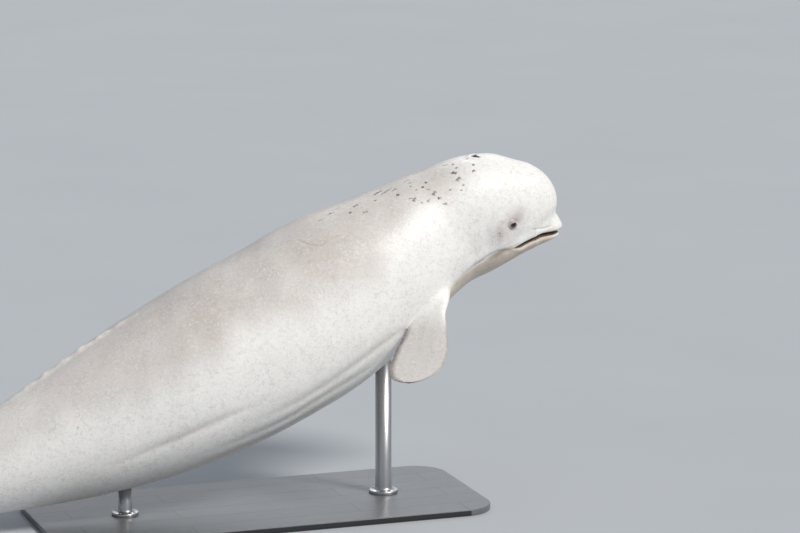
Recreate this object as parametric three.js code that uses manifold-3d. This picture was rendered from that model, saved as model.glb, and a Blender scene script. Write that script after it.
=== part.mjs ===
// A life-size adult beluga whale with its head lifted, held on a plain display stand.
// Millimetres, +Z up. The head points along +X and the animal's left side is +Y.
// The origin is the middle of the foot of the whole model's box.
//
// The body is first described straight: s is the distance behind the tip of the lips, y is to the
// animal's left and z is up. place() then bends it into its pose.

import * as THREE from 'three';
import { mergeVertices } from 'three/addons/utils/BufferGeometryUtils.js';
import Module from 'manifold-3d';

const wasm = await Module();
wasm.setup();

// Driving dimensions

const TOUCH_GAP = 0.3;

// Body stations: s, top, bottom, half width, level of the widest point, power of the section
const STATIONS = [
  [200, 168, -131, 150, 0, 2.1],
  [420, 268, -206, 205, 5, 2.1],
  [600, 326, -258, 240, -5, 2.1],
  [850, 342, -329, 306, -30, 2.1],
  [1150, 400, -396, 352, -45, 2.1],
  [1550, 396, -432, 384, -50, 2.1],
  [1950, 378, -424, 376, -45, 2.1],
  [2350, 330, -370, 318, -35, 2.05],
  [2750, 262, -282, 232, -22, 1.95],
  [3100, 194, -196, 150, -10, 1.85],
  [3400, 132, -126, 88, 0, 1.8],
  [3650, 84, -70, 48, 4, 1.8],
  [3850, 40, -28, 26, 5, 1.9],
  [3960, 14, -6, 10, 4, 2],
];
const TRUNK_FRONT = 205;
const TRUNK_ALONE = 900;
const STOCK_TIP = 3958;

// Rounded forms of the head: middle (s, z), radii along s, y and z, power, nose-down turn in degrees
const HEAD_FORMS = {
  cranium: { at: [388, 95], radii: [252, 212, 238], power: 2.24, turn: 0 },
  melon: { at: [190, 77], radii: [174, 160, 169], power: 2.15, turn: -29 },
  beak: { at: [124, -51], radii: [116, 108, 42], power: 2.3, turn: -8 },
  jaw: { at: [180, -111], radii: [164, 104, 35], power: 2.2, turn: -7 },
  throat: { at: [380, -103], radii: [190, 165, 100], power: 2.1, turn: -22 },
};
const HEAD_BLENDS = { cranium: 90, melon: 68, beak: 34, jaw: 60, throat: 36 };
const HEAD_MIDDLE = { s: 300, z: 10, mergedBy: 650 };
const FACE = { rings: 17, round: 48, crowding: 1.25 };

// Slope of the spine, nose up, in degrees, at distances behind the lips
const SPINE_SLOPES = [
  [0, 7], [300, 7], [620, 18], [1000, 28], [1500, 23.5], [2200, 23], [3000, 17], [3650, 8], [4100, 5],
];
const SPINE_STEP = 5;
const SPINE_END = 4100;

// Lengths of the body, from cut to cut, with their rings and the points round each
const LENGTHS = {
  neck: { from: 500, to: 660, rings: 4, round: 48 },
  chest: { from: 660, to: 1300, rings: 10, round: 48 },
  torso: { from: 1300, to: 2050, rings: 10, round: 48 },
  loin: { from: 2050, to: 2800, rings: 12, round: 44 },
  tail_stock: { from: 2800, to: 3560, rings: 11, round: 36 },
};
const HEAD_END = LENGTHS.neck.from;
const TAIL_END = LENGTHS.tail_stock.to;

// Edge of the upper lip: distance behind the lips, level
const MOUTH_LINE = [[-60, -80], [60, -76], [150, -71], [222, -81], [318, -107]];
const MOUTH = { front: -60, corner: 320, gape: 18.5, gapeFade: 66, depth: 46, halfWidth: 260, stepCount: 16 };
const JAW_ANGLE = { s: 372, z: -330 };
const LIP = {
  upperRadius: 17, lowerRadius: 14, sink: 0.68, offset: 0.9, centreAhead: 60, cornerTurn: 1.98, stepCount: 26,
};
const EYE = { s: 311, z: 17, radius: 24, stand: 6, rows: 10 };
const LID = { halfLength: 22, upperHeight: 15, lowerHeight: 13.5, radius: 6.5, flatten: 0.72, stepCount: 10 };
const EAR = { s: 385, z: -8, radius: 3, depth: 12, outside: 8 };
const BLOWHOLE = {
  s: 384, y: -18, halfWidth: 31, bow: 11, radius: 11, rimRadius: 15, rimSink: 11.5, rimBehind: 12, stepCount: 10,
};

const FLIPPER = {
  root: { s: 850, z: -205, inset: 110 }, length: 470, rootThick: 70, tipThick: 14,
  back: 0.62, out: 0.64, down: 0.45, curl: 58, rootTwist: 12, rootFlare: 26, sections: 17, round: 24,
};
// Flipper outline: share of its length, edge ahead of the axis, edge behind it
const FLIPPER_EDGES = [
  [0, 106, 102], [0.14, 94, 92], [0.27, 84, 84], [0.42, 98, 106], [0.6, 112, 138], [0.78, 102, 152],
  [0.88, 77, 147], [0.94, 44, 130], [0.975, 12, 106], [0.99, -11, 87], [0.998, -33, 66], [1, -47, 52],
];

const FLUKE = { halfSpan: 488, overlap: 20, rootThick: 60, tipThick: 9, droop: 26, sections: 13, round: 24 };
// Fluke outline: share of the half span, front edge and back edge as distances behind the lips
const FLUKE_EDGES = [
  [0, 3578, 3966], [0.12, 3648, 4000], [0.25, 3712, 4032], [0.5, 3796, 4052], [0.75, 3884, 4044],
  [0.9, 3942, 4026], [1, 3990, 4010],
];
const RIDGE = {
  front: 2062, back: 2788, height: 20, halfWidth: 26, sink: 26, bumps: 7, bumpDepth: 0.12, sections: 31, round: 10,
};

const STAND = {
  floorClearance: 80, base: { length: 2100, width: 900, height: 30, corner: 160, bevel: 5 },
  rodFront: { under: 'chest', s: 1120, radius: 38 }, rodRear: { under: 'loin', s: 2440, radius: 32 },
  rodRise: 120, collarRadius: 30, collarHeight: 22, collarEdge: 6, rootWidth: 8, rootHeight: 10,
};

// Small maths

const mix = (a, b, t) => a + (b - a) * t;
const clamp01 = (t) => Math.min(1, Math.max(0, t));
const smoothStep = (a, b, x) => {
  const t = clamp01((x - a) / (b - a));
  return t * t * (3 - 2 * t);
};
const radians = THREE.MathUtils.degToRad;
const angles = (count) => Array.from({ length: count }, (_, j) => 2 * Math.PI * j / count);
const steps = (from, to, count) => Array.from({ length: count + 1 }, (_, i) => mix(from, to, i / count));

// Half wave, 0 at t = 0 and t = 1 and 1 halfway, fuller for a power under 1
const arch = (t, power = 1) => Math.max(0, Math.sin(Math.PI * t)) ** power;

// Smooth curve through rows [x, ...values], with the given column as its value
function throughRows(rows, column, x) {
  const last = rows.length - 1;
  const slopeOf = (i) => (rows[i + 1][column] - rows[i][column]) / (rows[i + 1][0] - rows[i][0]);
  const tangent = (i) => {
    if (i === 0 || i === last) {
      return slopeOf(Math.min(i, last - 1));
    }
    const before = rows[i][0] - rows[i - 1][0];
    const after = rows[i + 1][0] - rows[i][0];
    return (slopeOf(i - 1) * after + slopeOf(i) * before) / (before + after);
  };
  const at = Math.min(rows[last][0], Math.max(rows[0][0], x));
  let i = 0;
  while (i < last - 1 && rows[i + 1][0] <= at) {
    i += 1;
  }
  const width = rows[i + 1][0] - rows[i][0];
  const t = (at - rows[i][0]) / width;
  const u = 1 - t;
  return rows[i][column] * (1 + 2 * t) * u * u + rows[i + 1][column] * t * t * (3 - 2 * t)
    + width * (tangent(i) * t * u * u - tangent(i + 1) * t * t * u);
}

// Rounded meeting of two fields, over a width
function blend(a, b, width) {
  const h = Math.max(width - Math.abs(a - b), 0) / width;
  return Math.min(a, b) - h * h * width / 4;
}

// Form of the straight body: a field that is negative inside

function headForm({ at, radii, power, turn }, s, y, z) {
  const angle = radians(turn);
  const ds = (s - at[0]) * Math.cos(angle) + (z - at[1]) * Math.sin(angle);
  const dz = -(s - at[0]) * Math.sin(angle) + (z - at[1]) * Math.cos(angle);
  const shares = [ds / radii[0], y / radii[1], dz / radii[2]];
  const sum = shares.reduce((total, share) => total + Math.abs(share) ** power, 0);
  return (sum ** (1 / power) - 1) * Math.min(...radii);
}

function trunkForm(s, y, z) {
  const columns = [1, 2, 3, 4, 5];
  const [top, bottom, halfWidth, level, power] = columns.map((column) => throughRows(STATIONS, column, s));
  const height = z > level ? top - level : level - bottom;
  const sum = Math.abs(y / halfWidth) ** power + Math.abs((z - level) / height) ** power;
  const reach = sum ** (1 / power);
  return Math.max((reach - 1) * Math.min(halfWidth, height), TRUNK_FRONT - s);
}

function bodyField(s, y, z) {
  const trunk = trunkForm(s, y, z);
  if (s > TRUNK_ALONE) {
    return trunk;
  }
  const form = (name) => headForm(HEAD_FORMS[name], s, y, z);
  let field = blend(trunk, form('cranium'), HEAD_BLENDS.cranium);
  field = blend(field, form('melon'), HEAD_BLENDS.melon);
  field = blend(field, form('beak'), HEAD_BLENDS.beak);
  return blend(field, blend(form('jaw'), form('throat'), HEAD_BLENDS.jaw), HEAD_BLENDS.throat);
}

// Distance from a start point to the skin, where point(r) gives [s, y, z] at distance r
function distanceToSkin(point) {
  const halvings = 30;
  let near = 0;
  let far = 700;
  for (let i = 0; i < halvings; i += 1) {
    const middle = (near + far) / 2;
    if (bodyField(...point(middle)) < 0) {
      near = middle;
    } else {
      far = middle;
    }
  }
  return near;
}

// Level of the line inside the body that the slices are measured from
function middleLevel(s) {
  const merged = smoothStep(HEAD_MIDDLE.s, HEAD_MIDDLE.mergedBy, s);
  return mix(HEAD_MIDDLE.z, throughRows(STATIONS, 4, s), merged);
}

// Skin point of the slice at s, at an angle round the spine from the top towards the left
function slicePoint(s, angle, offset = 0) {
  const level = middleLevel(s);
  const ray = (r) => [s, r * Math.sin(angle), level + r * Math.cos(angle)];
  return ray(distanceToSkin(ray) + offset);
}

// Skin point in front of the head's middle, by the angle from straight ahead and the angle round it
function facePoint(polar, angle, offset = 0) {
  const ray = (r) => [
    HEAD_MIDDLE.s - r * Math.cos(polar),
    r * Math.sin(polar) * Math.sin(angle),
    HEAD_MIDDLE.z + r * Math.sin(polar) * Math.cos(angle),
  ];
  return ray(distanceToSkin(ray) + offset);
}

// Skin point beside the midline at a given s and z; side is +1 on the left and -1 on the right
function sidePoint(s, z, side) {
  const ray = (r) => [s, side * r, z];
  return ray(distanceToSkin(ray));
}

function topPoint(s, y) {
  const ray = (r) => [s, y, HEAD_MIDDLE.z + r];
  return ray(distanceToSkin(ray));
}

function skinNormal([s, y, z]) {
  const h = 0.5;
  return new THREE.Vector3(
    bodyField(s + h, y, z) - bodyField(s - h, y, z),
    bodyField(s, y + h, z) - bodyField(s, y - h, z),
    bodyField(s, y, z + h) - bodyField(s, y, z - h),
  ).normalize();
}

// Pose: the spine is bent by its slope, and each slice stays square to it

const spine = [{ x: 0, z: 0, slope: radians(throughRows(SPINE_SLOPES, 1, 0)) }];
for (let s = SPINE_STEP; s <= SPINE_END; s += SPINE_STEP) {
  const before = spine[spine.length - 1];
  const slope = radians(throughRows(SPINE_SLOPES, 1, s));
  const halfway = (slope + before.slope) / 2;
  const x = before.x - SPINE_STEP * Math.cos(halfway);
  const z = before.z - SPINE_STEP * Math.sin(halfway);
  spine.push({ x, z, slope });
}

function place([s, y, z]) {
  const k = Math.min(spine.length - 2, Math.floor(Math.max(0, s) / SPINE_STEP));
  const t = Math.max(0, s) / SPINE_STEP - k;
  const slope = mix(spine[k].slope, spine[k + 1].slope, t);
  const ahead = Math.min(0, s);
  const x0 = mix(spine[k].x, spine[k + 1].x, t) - ahead * Math.cos(slope);
  const z0 = mix(spine[k].z, spine[k + 1].z, t) - ahead * Math.sin(slope);
  return new THREE.Vector3(x0 - z * Math.sin(slope), y, z0 + z * Math.cos(slope));
}

// Solids

// Closed surface through rings of points, ended by two single points
function loft(rings, start, end) {
  const count = rings[0].length;
  const points = [...rings.flat(), start, end];
  const startIndex = rings.length * count;
  const faces = [];
  for (let j = 0; j < count; j += 1) {
    const k = (j + 1) % count;
    for (let i = 0; i < rings.length - 1; i += 1) {
      const [a, b, c, d] = [i * count + j, i * count + k, (i + 1) * count + k, (i + 1) * count + j];
      faces.push(a, b, c, a, c, d);
    }
    faces.push(startIndex, k, j);
    faces.push(startIndex + 1, (rings.length - 1) * count + j, (rings.length - 1) * count + k);
  }
  const geometry = new THREE.BufferGeometry().setFromPoints(points);
  geometry.setIndex(faces);
  return geometry;
}

function signedVolume(geometry) {
  const position = geometry.getAttribute('position');
  const index = geometry.getIndex();
  const [a, b, c] = [new THREE.Vector3(), new THREE.Vector3(), new THREE.Vector3()];
  let volume = 0;
  for (let i = 0; i < index.count; i += 3) {
    a.fromBufferAttribute(position, index.getX(i));
    b.fromBufferAttribute(position, index.getX(i + 1));
    c.fromBufferAttribute(position, index.getX(i + 2));
    volume += a.dot(b.cross(c)) / 6;
  }
  return volume;
}

function solidOf(source) {
  const plain = source.clone();
  plain.deleteAttribute('normal');
  plain.deleteAttribute('uv');
  const merged = mergeVertices(plain, 1e-4);
  const triVerts = Uint32Array.from(merged.getIndex().array);
  if (signedVolume(merged) < 0) {
    for (let i = 0; i < triVerts.length; i += 3) {
      [triVerts[i], triVerts[i + 1]] = [triVerts[i + 1], triVerts[i]];
    }
  }
  const vertProperties = Float32Array.from(merged.getAttribute('position').array);
  return new wasm.Manifold(new wasm.Mesh({ numProp: 3, vertProperties, triVerts }));
}

// Largest closed surface of a solid, as a geometry
function geometryOf(solid) {
  const pieces = solid.decompose();
  const largest = pieces.reduce((a, b) => (b.volume() > a.volume() ? b : a));
  const { vertProperties, triVerts, numProp } = largest.getMesh();
  const position = new Float32Array(vertProperties.length / numProp * 3);
  for (let i = 0; i < position.length / 3; i += 1) {
    position.set(vertProperties.subarray(i * numProp, i * numProp + 3), i * 3);
  }
  const geometry = new THREE.BufferGeometry();
  geometry.setAttribute('position', new THREE.BufferAttribute(position, 3));
  geometry.setIndex(Array.from(triVerts));
  return geometry;
}

const joined = (solids) => solids.reduce((a, b) => a.add(b));
const middleOf = (ring) => ring.reduce((a, b) => a.clone().add(b)).multiplyScalar(1 / ring.length);

// Rounded rod through straight-frame points, with a radius for each, closed by blunt ends
function taperedRod(path, radii, sides = 8) {
  const points = path.map(place);
  const curve = new THREE.CatmullRomCurve3(points, false, 'centripetal');
  const rings = points.map((point, i) => {
    const along = curve.getTangent(i / (points.length - 1)).normalize();
    const across = new THREE.Vector3().crossVectors(along, new THREE.Vector3(0, 0, 1));
    if (across.lengthSq() < 0.05) {
      across.crossVectors(along, new THREE.Vector3(0, 1, 0));
    }
    across.normalize();
    const upward = new THREE.Vector3().crossVectors(across, along);
    return Array.from({ length: sides }, (_, j) => {
      const angle = 2 * Math.PI * j / sides;
      return point.clone()
        .addScaledVector(across, radii[i] * Math.cos(angle))
        .addScaledVector(upward, radii[i] * Math.sin(angle));
    });
  });
  const endPoint = (i, inner) => {
    const outward = points[i].clone().sub(points[inner]).normalize();
    return points[i].clone().addScaledVector(outward, radii[i] * 0.6);
  };
  return solidOf(loft(rings, endPoint(0, 1), endPoint(points.length - 1, points.length - 2)));
}

// Straight-frame prism across the body, from an outline of [s, z] points
function crossPrism(outline, halfWidth) {
  const shape = new THREE.Shape(outline.map(([s, z]) => new THREE.Vector2(s, z)));
  const geometry = new THREE.ExtrudeGeometry(shape, { depth: 2 * halfWidth, bevelEnabled: false });
  const position = geometry.getAttribute('position');
  for (let i = 0; i < position.count; i += 1) {
    const point = place([position.getX(i), position.getZ(i) - halfWidth, position.getY(i)]);
    position.setXYZ(i, point.x, point.y, point.z);
  }
  return solidOf(geometry);
}

// Length of the body between two slices, square to the spine
function bodyBetween(from, to, ringCount, round, offset = 0) {
  const ringAt = (s) => angles(round).map((a) => place(slicePoint(s, a, offset)));
  const rings = steps(from, to, ringCount).map(ringAt);
  return solidOf(loft(rings, place([from, 0, middleLevel(from)]), place([to, 0, middleLevel(to)])));
}

function bodyLength(name) {
  const { from, to, rings, round } = LENGTHS[name];
  return bodyBetween(from + TOUCH_GAP / 2, to - TOUCH_GAP / 2, rings, round);
}

// What a piece set on a length of the body is cut by, so that it ends just clear of the skin
function bodyClearance(name) {
  const { from, to, rings, round } = LENGTHS[name];
  return bodyBetween(from, to, rings, round, TOUCH_GAP);
}

// Head

// Whole front of the body up to a cut, from the tip of the face backwards
function headSkin(to, ringCount, offset = 0) {
  const round = angles(FACE.round);
  const polars = steps(1 / FACE.rings, 1, FACE.rings - 1).map((t) => (Math.PI / 2) * t ** FACE.crowding);
  const face = polars.map((polar) => round.map((a) => place(facePoint(polar, a, offset))));
  const back = steps(HEAD_MIDDLE.s, to, ringCount).slice(1)
    .map((s) => round.map((a) => place(slicePoint(s, a, offset))));
  return solidOf(loft([...face, ...back], place(facePoint(0, 0, offset)), place([to, 0, middleLevel(to)])));
}

// Edge of the upper lip, the parting of the lips below it, and the level where the jaws meet inside
const upperEdge = (s) => throughRows(MOUTH_LINE, 1, s);
const gape = (s) => 0.6 + MOUTH.gape * smoothStep(MOUTH.corner, MOUTH.corner - MOUTH.gapeFade, s);
const jawLevel = (s) => upperEdge(s) - gape(s) / 2;

// Everything below the meeting of the jaws and ahead of the jaw's angle, grown by a margin
function jawRegion(margin) {
  const line = steps(MOUTH.front, MOUTH.corner, MOUTH.stepCount).map((s) => [s, jawLevel(s) + margin]);
  return crossPrism([
    ...line,
    [MOUTH.corner + 1 + margin, jawLevel(MOUTH.corner) + margin],
    [JAW_ANGLE.s + margin, JAW_ANGLE.z],
    [MOUTH.front, JAW_ANGLE.z],
  ], MOUTH.halfWidth);
}

// Opening between the lips, closed at the corners and as deep as the lips
function mouthOpening() {
  const stations = steps(MOUTH.front, MOUTH.corner, MOUTH.stepCount);
  const upper = stations.map((s) => [s, upperEdge(s)]);
  const lower = stations.map((s) => [s, upperEdge(s) - gape(s)]).reverse();
  return crossPrism([...upper, ...lower], MOUTH.halfWidth).subtract(headSkin(HEAD_END, 5, -MOUTH.depth));
}

// Ridge of one lip, round the front from corner to corner; way is +1 for the upper lip and -1 for the lower
function lip(way) {
  const centre = MOUTH.corner - LIP.centreAhead;
  const radius = way > 0 ? LIP.upperRadius : LIP.lowerRadius;
  const path = steps(-LIP.cornerTurn, LIP.cornerTurn, LIP.stepCount).map((turn) => {
    const lift = LIP.offset * radius * mix(0.5, 1, smoothStep(LIP.cornerTurn, 1, Math.abs(turn)));
    const ray = (r) => {
      const s = centre - r * Math.cos(turn);
      const edge = way > 0 ? upperEdge(s) : upperEdge(s) - gape(s);
      return [s, r * Math.sin(turn), edge + way * lift];
    };
    return ray(distanceToSkin(ray) - LIP.sink * radius);
  });
  const radii = path.map((_, i) => radius * (0.45 + 0.55 * arch(i / LIP.stepCount, 0.6)));
  return taperedRod(path, radii);
}

// Straight-frame axes at a skin point: outward, towards the tail, and up along the skin
function skinAxes(point) {
  const outward = skinNormal(point);
  const tailward = new THREE.Vector3(1, 0, 0).addScaledVector(outward, -outward.x).normalize();
  const upward = new THREE.Vector3().crossVectors(tailward, outward);
  upward.multiplyScalar(Math.sign(upward.z));
  return { outward, tailward, upward };
}

function eyeFrame(side) {
  const point = sidePoint(EYE.s, EYE.z, side);
  const axes = skinAxes(point);
  const centre = new THREE.Vector3(...point).addScaledVector(axes.outward, EYE.stand - EYE.radius);
  return { centre, ...axes };
}

function eyeball(side, radius) {
  const geometry = new THREE.SphereGeometry(radius, 2 * EYE.rows, EYE.rows);
  const centre = place(eyeFrame(side).centre.toArray());
  geometry.translate(centre.x, centre.y, centre.z);
  return solidOf(geometry);
}

// One lid, an arch over or under the eye from corner to corner
function lid(side, way) {
  const { centre, outward, tailward, upward } = eyeFrame(side);
  const height = way > 0 ? LID.upperHeight : LID.lowerHeight;
  const path = steps(0, Math.PI, LID.stepCount).map((turn) => {
    const along = LID.halfLength * Math.cos(turn);
    const over = way * height * arch(turn / Math.PI, 0.8);
    const out = Math.sqrt(Math.max(0, (EYE.radius + 0.5) ** 2 - LID.flatten * along * along - over * over));
    return centre.clone()
      .addScaledVector(tailward, along)
      .addScaledVector(upward, over)
      .addScaledVector(outward, out).toArray();
  });
  const radii = path.map((_, i) => LID.radius * (0.55 + 0.45 * arch(i / LID.stepCount)));
  return taperedRod(path, radii, 7);
}

// Crescent over the blowhole, its ends pointing forward, under the skin by sink and moved backward
function blowholePath(sink, backward) {
  return steps(-1, 1, BLOWHOLE.stepCount).map((t) => {
    const s = BLOWHOLE.s + backward - BLOWHOLE.bow * t * t;
    const [, y, z] = topPoint(s, BLOWHOLE.y + BLOWHOLE.halfWidth * t);
    return [s, y, z - sink];
  });
}

function roundedEnds(radius, least) {
  return steps(-1, 1, BLOWHOLE.stepCount).map((t) => radius * Math.max(least, Math.sqrt(1 - t * t)));
}

function earPit(side) {
  const point = sidePoint(EAR.s, EAR.z, side);
  const { outward } = skinAxes(point);
  const at = (distance) => new THREE.Vector3(...point).addScaledVector(outward, distance).toArray();
  const path = [at(EAR.outside), at(-EAR.depth / 2), at(-EAR.depth)];
  return taperedRod(path, [EAR.radius, EAR.radius, EAR.radius / 2]);
}

function headSolids() {
  const sides = [1, -1];
  const whole = joined([
    headSkin(HEAD_END - TOUCH_GAP / 2, 6),
    lip(1),
    lip(-1),
    ...sides.flatMap((side) => [lid(side, 1), lid(side, -1)]),
    taperedRod(blowholePath(BLOWHOLE.rimSink, BLOWHOLE.rimBehind), roundedEnds(BLOWHOLE.rimRadius, 0.4)),
  ]);
  let carved = whole
    .subtract(mouthOpening())
    .subtract(taperedRod(blowholePath(-1, 0), roundedEnds(BLOWHOLE.radius, 0.3)));
  sides.forEach((side) => {
    carved = carved.subtract(eyeball(side, EYE.radius + TOUCH_GAP)).subtract(earPit(side));
  });
  return {
    head: carved.subtract(jawRegion(TOUCH_GAP / 2)),
    lower_jaw: carved.intersect(jawRegion(-TOUCH_GAP / 2)),
  };
}

// Flippers: a flat paddle from a thick root, its tip curled up, set on the low side of the chest

function flipper(side) {
  const [s0, y0, z0] = sidePoint(FLIPPER.root.s, FLIPPER.root.z, side);
  const along = new THREE.Vector3(FLIPPER.back, side * FLIPPER.out, -FLIPPER.down).normalize();
  const start = new THREE.Vector3(s0, y0, z0).addScaledVector(along, -FLIPPER.root.inset);
  const forward = new THREE.Vector3(-1, 0, 0).addScaledVector(along, along.x).normalize();
  const upward = new THREE.Vector3().crossVectors(forward, along).normalize();
  upward.multiplyScalar(Math.sign(upward.z));
  const rings = steps(0, FLIPPER.sections - 1, FLIPPER.sections - 1).map((i) => {
    const t = 1 - (1 - i / (FLIPPER.sections - 0.45)) ** 1.5;
    const front = throughRows(FLIPPER_EDGES, 1, t);
    const back = throughRows(FLIPPER_EDGES, 2, t);
    const flare = FLIPPER.rootFlare * smoothStep(0.36, 0.12, t);
    const thick = mix(FLIPPER.rootThick, FLIPPER.tipThick, Math.min(1, 1.25 * t) ** 0.7) + flare;
    const twist = radians(FLIPPER.rootTwist) * (1 - t);
    return angles(FLIPPER.round).map((a) => {
      const across = (front - back) / 2 + (front + back) / 2 * Math.cos(a);
      const lift = thick / 2 * Math.sin(a) * (0.72 + 0.28 * Math.cos(a)) + FLIPPER.curl * t ** 3;
      const point = start.clone().addScaledVector(along, (FLIPPER.length + FLIPPER.root.inset) * t)
        .addScaledVector(forward, across * Math.cos(twist) - lift * Math.sin(twist))
        .addScaledVector(upward, across * Math.sin(twist) + lift * Math.cos(twist));
      return place(point.toArray());
    });
  });
  const tip = middleOf(rings[rings.length - 1]);
  const last = middleOf(rings[rings.length - 2]);
  tip.addScaledVector(tip.clone().sub(last).normalize(), 4);
  const paddle = solidOf(loft(rings, middleOf(rings[0]), tip));
  return paddle.subtract(bodyClearance('chest'));
}

// Flukes: one blade on each side of the notch, with half of the end of the tail stock

function fluke(side) {
  const rings = steps(0, FLUKE.sections - 1, FLUKE.sections - 1).map((i) => {
    const t = 1 - (1 - i / (FLUKE.sections - 0.6)) ** 1.2;
    const y = side * (FLUKE.halfSpan * t - FLUKE.overlap);
    const front = throughRows(FLUKE_EDGES, 1, t);
    const back = throughRows(FLUKE_EDGES, 2, t);
    const thick = mix(FLUKE.rootThick, FLUKE.tipThick, t ** 0.75);
    return angles(FLUKE.round).map((a) => {
      const s = (front + back) / 2 - (back - front) / 2 * Math.cos(a);
      const z = 3 + thick / 2 * Math.sin(a) * (0.74 + 0.26 * Math.cos(a)) - FLUKE.droop * t * t;
      return place([s, y, z]);
    });
  });
  const tip = middleOf(rings[rings.length - 1]).add(new THREE.Vector3(0, side * 8, 0));
  const blade = solidOf(loft(rings, middleOf(rings[0]), tip));
  const stock = bodyBetween(TAIL_END + TOUCH_GAP / 2, STOCK_TIP, 8, 28);
  const roomWidth = 1000;
  const ownSide = new THREE.BoxGeometry(2 * roomWidth, roomWidth, roomWidth);
  const middle = place([TAIL_END, 0, 0]);
  ownSide.translate(middle.x, side * (roomWidth / 2 + TOUCH_GAP / 2), middle.z);
  const ahead = bodyBetween(TAIL_END - 300, TAIL_END + TOUCH_GAP / 2, 6, 28, 60);
  return stock.add(blade).intersect(solidOf(ownSide)).subtract(ahead);
}

// Low ridge along the back, in place of a fin, with a row of shallow bumps

function dorsalRidge() {
  const stations = steps(RIDGE.front, RIDGE.back, RIDGE.sections - 1);
  const rings = stations.map((s) => {
    const t = (s - RIDGE.front) / (RIDGE.back - RIDGE.front);
    const fade = arch(t, 0.6);
    const bump = 1 - RIDGE.bumpDepth * (1 - Math.cos(2 * Math.PI * RIDGE.bumps * t));
    const [, , top] = slicePoint(s, 0);
    const reach = RIDGE.sink + RIDGE.height * fade * bump;
    const width = RIDGE.halfWidth * (0.45 + 0.55 * fade);
    const middle = top - RIDGE.sink;
    return angles(RIDGE.round).map((a) => place([s, width * Math.sin(a), middle + reach * Math.cos(a)]));
  });
  const endOf = (s) => place([s, 0, slicePoint(s, 0)[2] - RIDGE.sink]);
  const crest = solidOf(loft(rings, endOf(RIDGE.front), endOf(RIDGE.back)));
  return crest.subtract(bodyClearance('loin'));
}

// Stand: a flat base with rounded corners and two upright rods that end against the belly

function lowestPoint(solids) {
  return Math.min(...solids.map((solid) => solid.boundingBox().min[2]));
}

const bellyPoint = (s) => place(slicePoint(s, Math.PI));

function standBase(floor) {
  const { length, width, height, corner, bevel } = STAND.base;
  const [a, b, r] = [length / 2 - bevel, width / 2 - bevel, corner - bevel];
  const shape = new THREE.Shape();
  const corners = [[a - r, b - r], [r - a, b - r], [r - a, r - b], [a - r, r - b]];
  corners.forEach(([x, y], quarter) => {
    shape.absarc(x, y, r, quarter * Math.PI / 2, (quarter + 1) * Math.PI / 2, false);
  });
  const geometry = new THREE.ExtrudeGeometry(shape, {
    depth: height - 2 * bevel, curveSegments: 7, bevelThickness: bevel, bevelSize: bevel, bevelSegments: 1,
  });
  const betweenRods = (bellyPoint(STAND.rodFront.s).x + bellyPoint(STAND.rodRear.s).x) / 2;
  geometry.translate(betweenRods, 0, floor + bevel);
  return solidOf(geometry);
}

function standRod({ s, radius, under }, floor) {
  const foot = floor + STAND.base.height + TOUCH_GAP;
  const top = bellyPoint(s).z + STAND.rodRise;
  const collar = radius + STAND.collarRadius;
  const collarTop = foot + STAND.collarHeight;
  const outline = [
    [0, foot], [collar, foot], [collar, collarTop - STAND.collarEdge], [collar - STAND.collarEdge, collarTop],
    [radius + STAND.rootWidth, collarTop], [radius, collarTop + STAND.rootHeight], [radius, top], [0, top],
  ];
  const geometry = new THREE.LatheGeometry(outline.map(([x, y]) => new THREE.Vector2(x, y)), 28);
  geometry.rotateX(Math.PI / 2);
  geometry.translate(bellyPoint(s).x, 0, 0);
  return solidOf(geometry).subtract(bodyClearance(under));
}

// Assembly

const skin = (colour) => new THREE.MeshStandardMaterial({ color: colour, roughness: 0.42, metalness: 0 });
const skinWhite = skin(0xe9e6e1);
const skinGrey = skin(0xcfc6bf);
const eyeBrown = new THREE.MeshStandardMaterial({ color: 0x2a1a12, roughness: 0.08, metalness: 0 });
const standGrey = new THREE.MeshStandardMaterial({ color: 0x3c3e40, roughness: 0.45, metalness: 0.1 });

const solids = {
  ...headSolids(),
  ...Object.fromEntries(Object.keys(LENGTHS).map((name) => [name, bodyLength(name)])),
  dorsal_ridge: dorsalRidge(),
  flipper_left: flipper(1),
  flipper_right: flipper(-1),
  fluke_left: fluke(1),
  fluke_right: fluke(-1),
  eye_left: eyeball(1, EYE.radius),
  eye_right: eyeball(-1, EYE.radius),
};
const floor = lowestPoint(Object.values(solids)) - STAND.floorClearance;
solids.stand_base = standBase(floor);
solids.stand_rod_front = standRod(STAND.rodFront, floor);
solids.stand_rod_rear = standRod(STAND.rodRear, floor);

const materials = { eye: eyeBrown, stand: standGrey, flipper: skinGrey, fluke: skinGrey, dorsal: skinGrey };
const whale = new THREE.Group();
Object.entries(solids).forEach(([name, solid]) => {
  const mesh = new THREE.Mesh(geometryOf(solid), materials[name.split('_')[0]] ?? skinWhite);
  mesh.name = name;
  whale.add(mesh);
});

const box = new THREE.Box3().setFromObject(whale);
const middle = box.getCenter(new THREE.Vector3());
whale.position.set(-middle.x, -middle.y, -box.min.z);

export default whale;
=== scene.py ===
import math

import bmesh
import bpy
import numpy as np
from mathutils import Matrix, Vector
from mathutils.kdtree import KDTree


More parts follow.
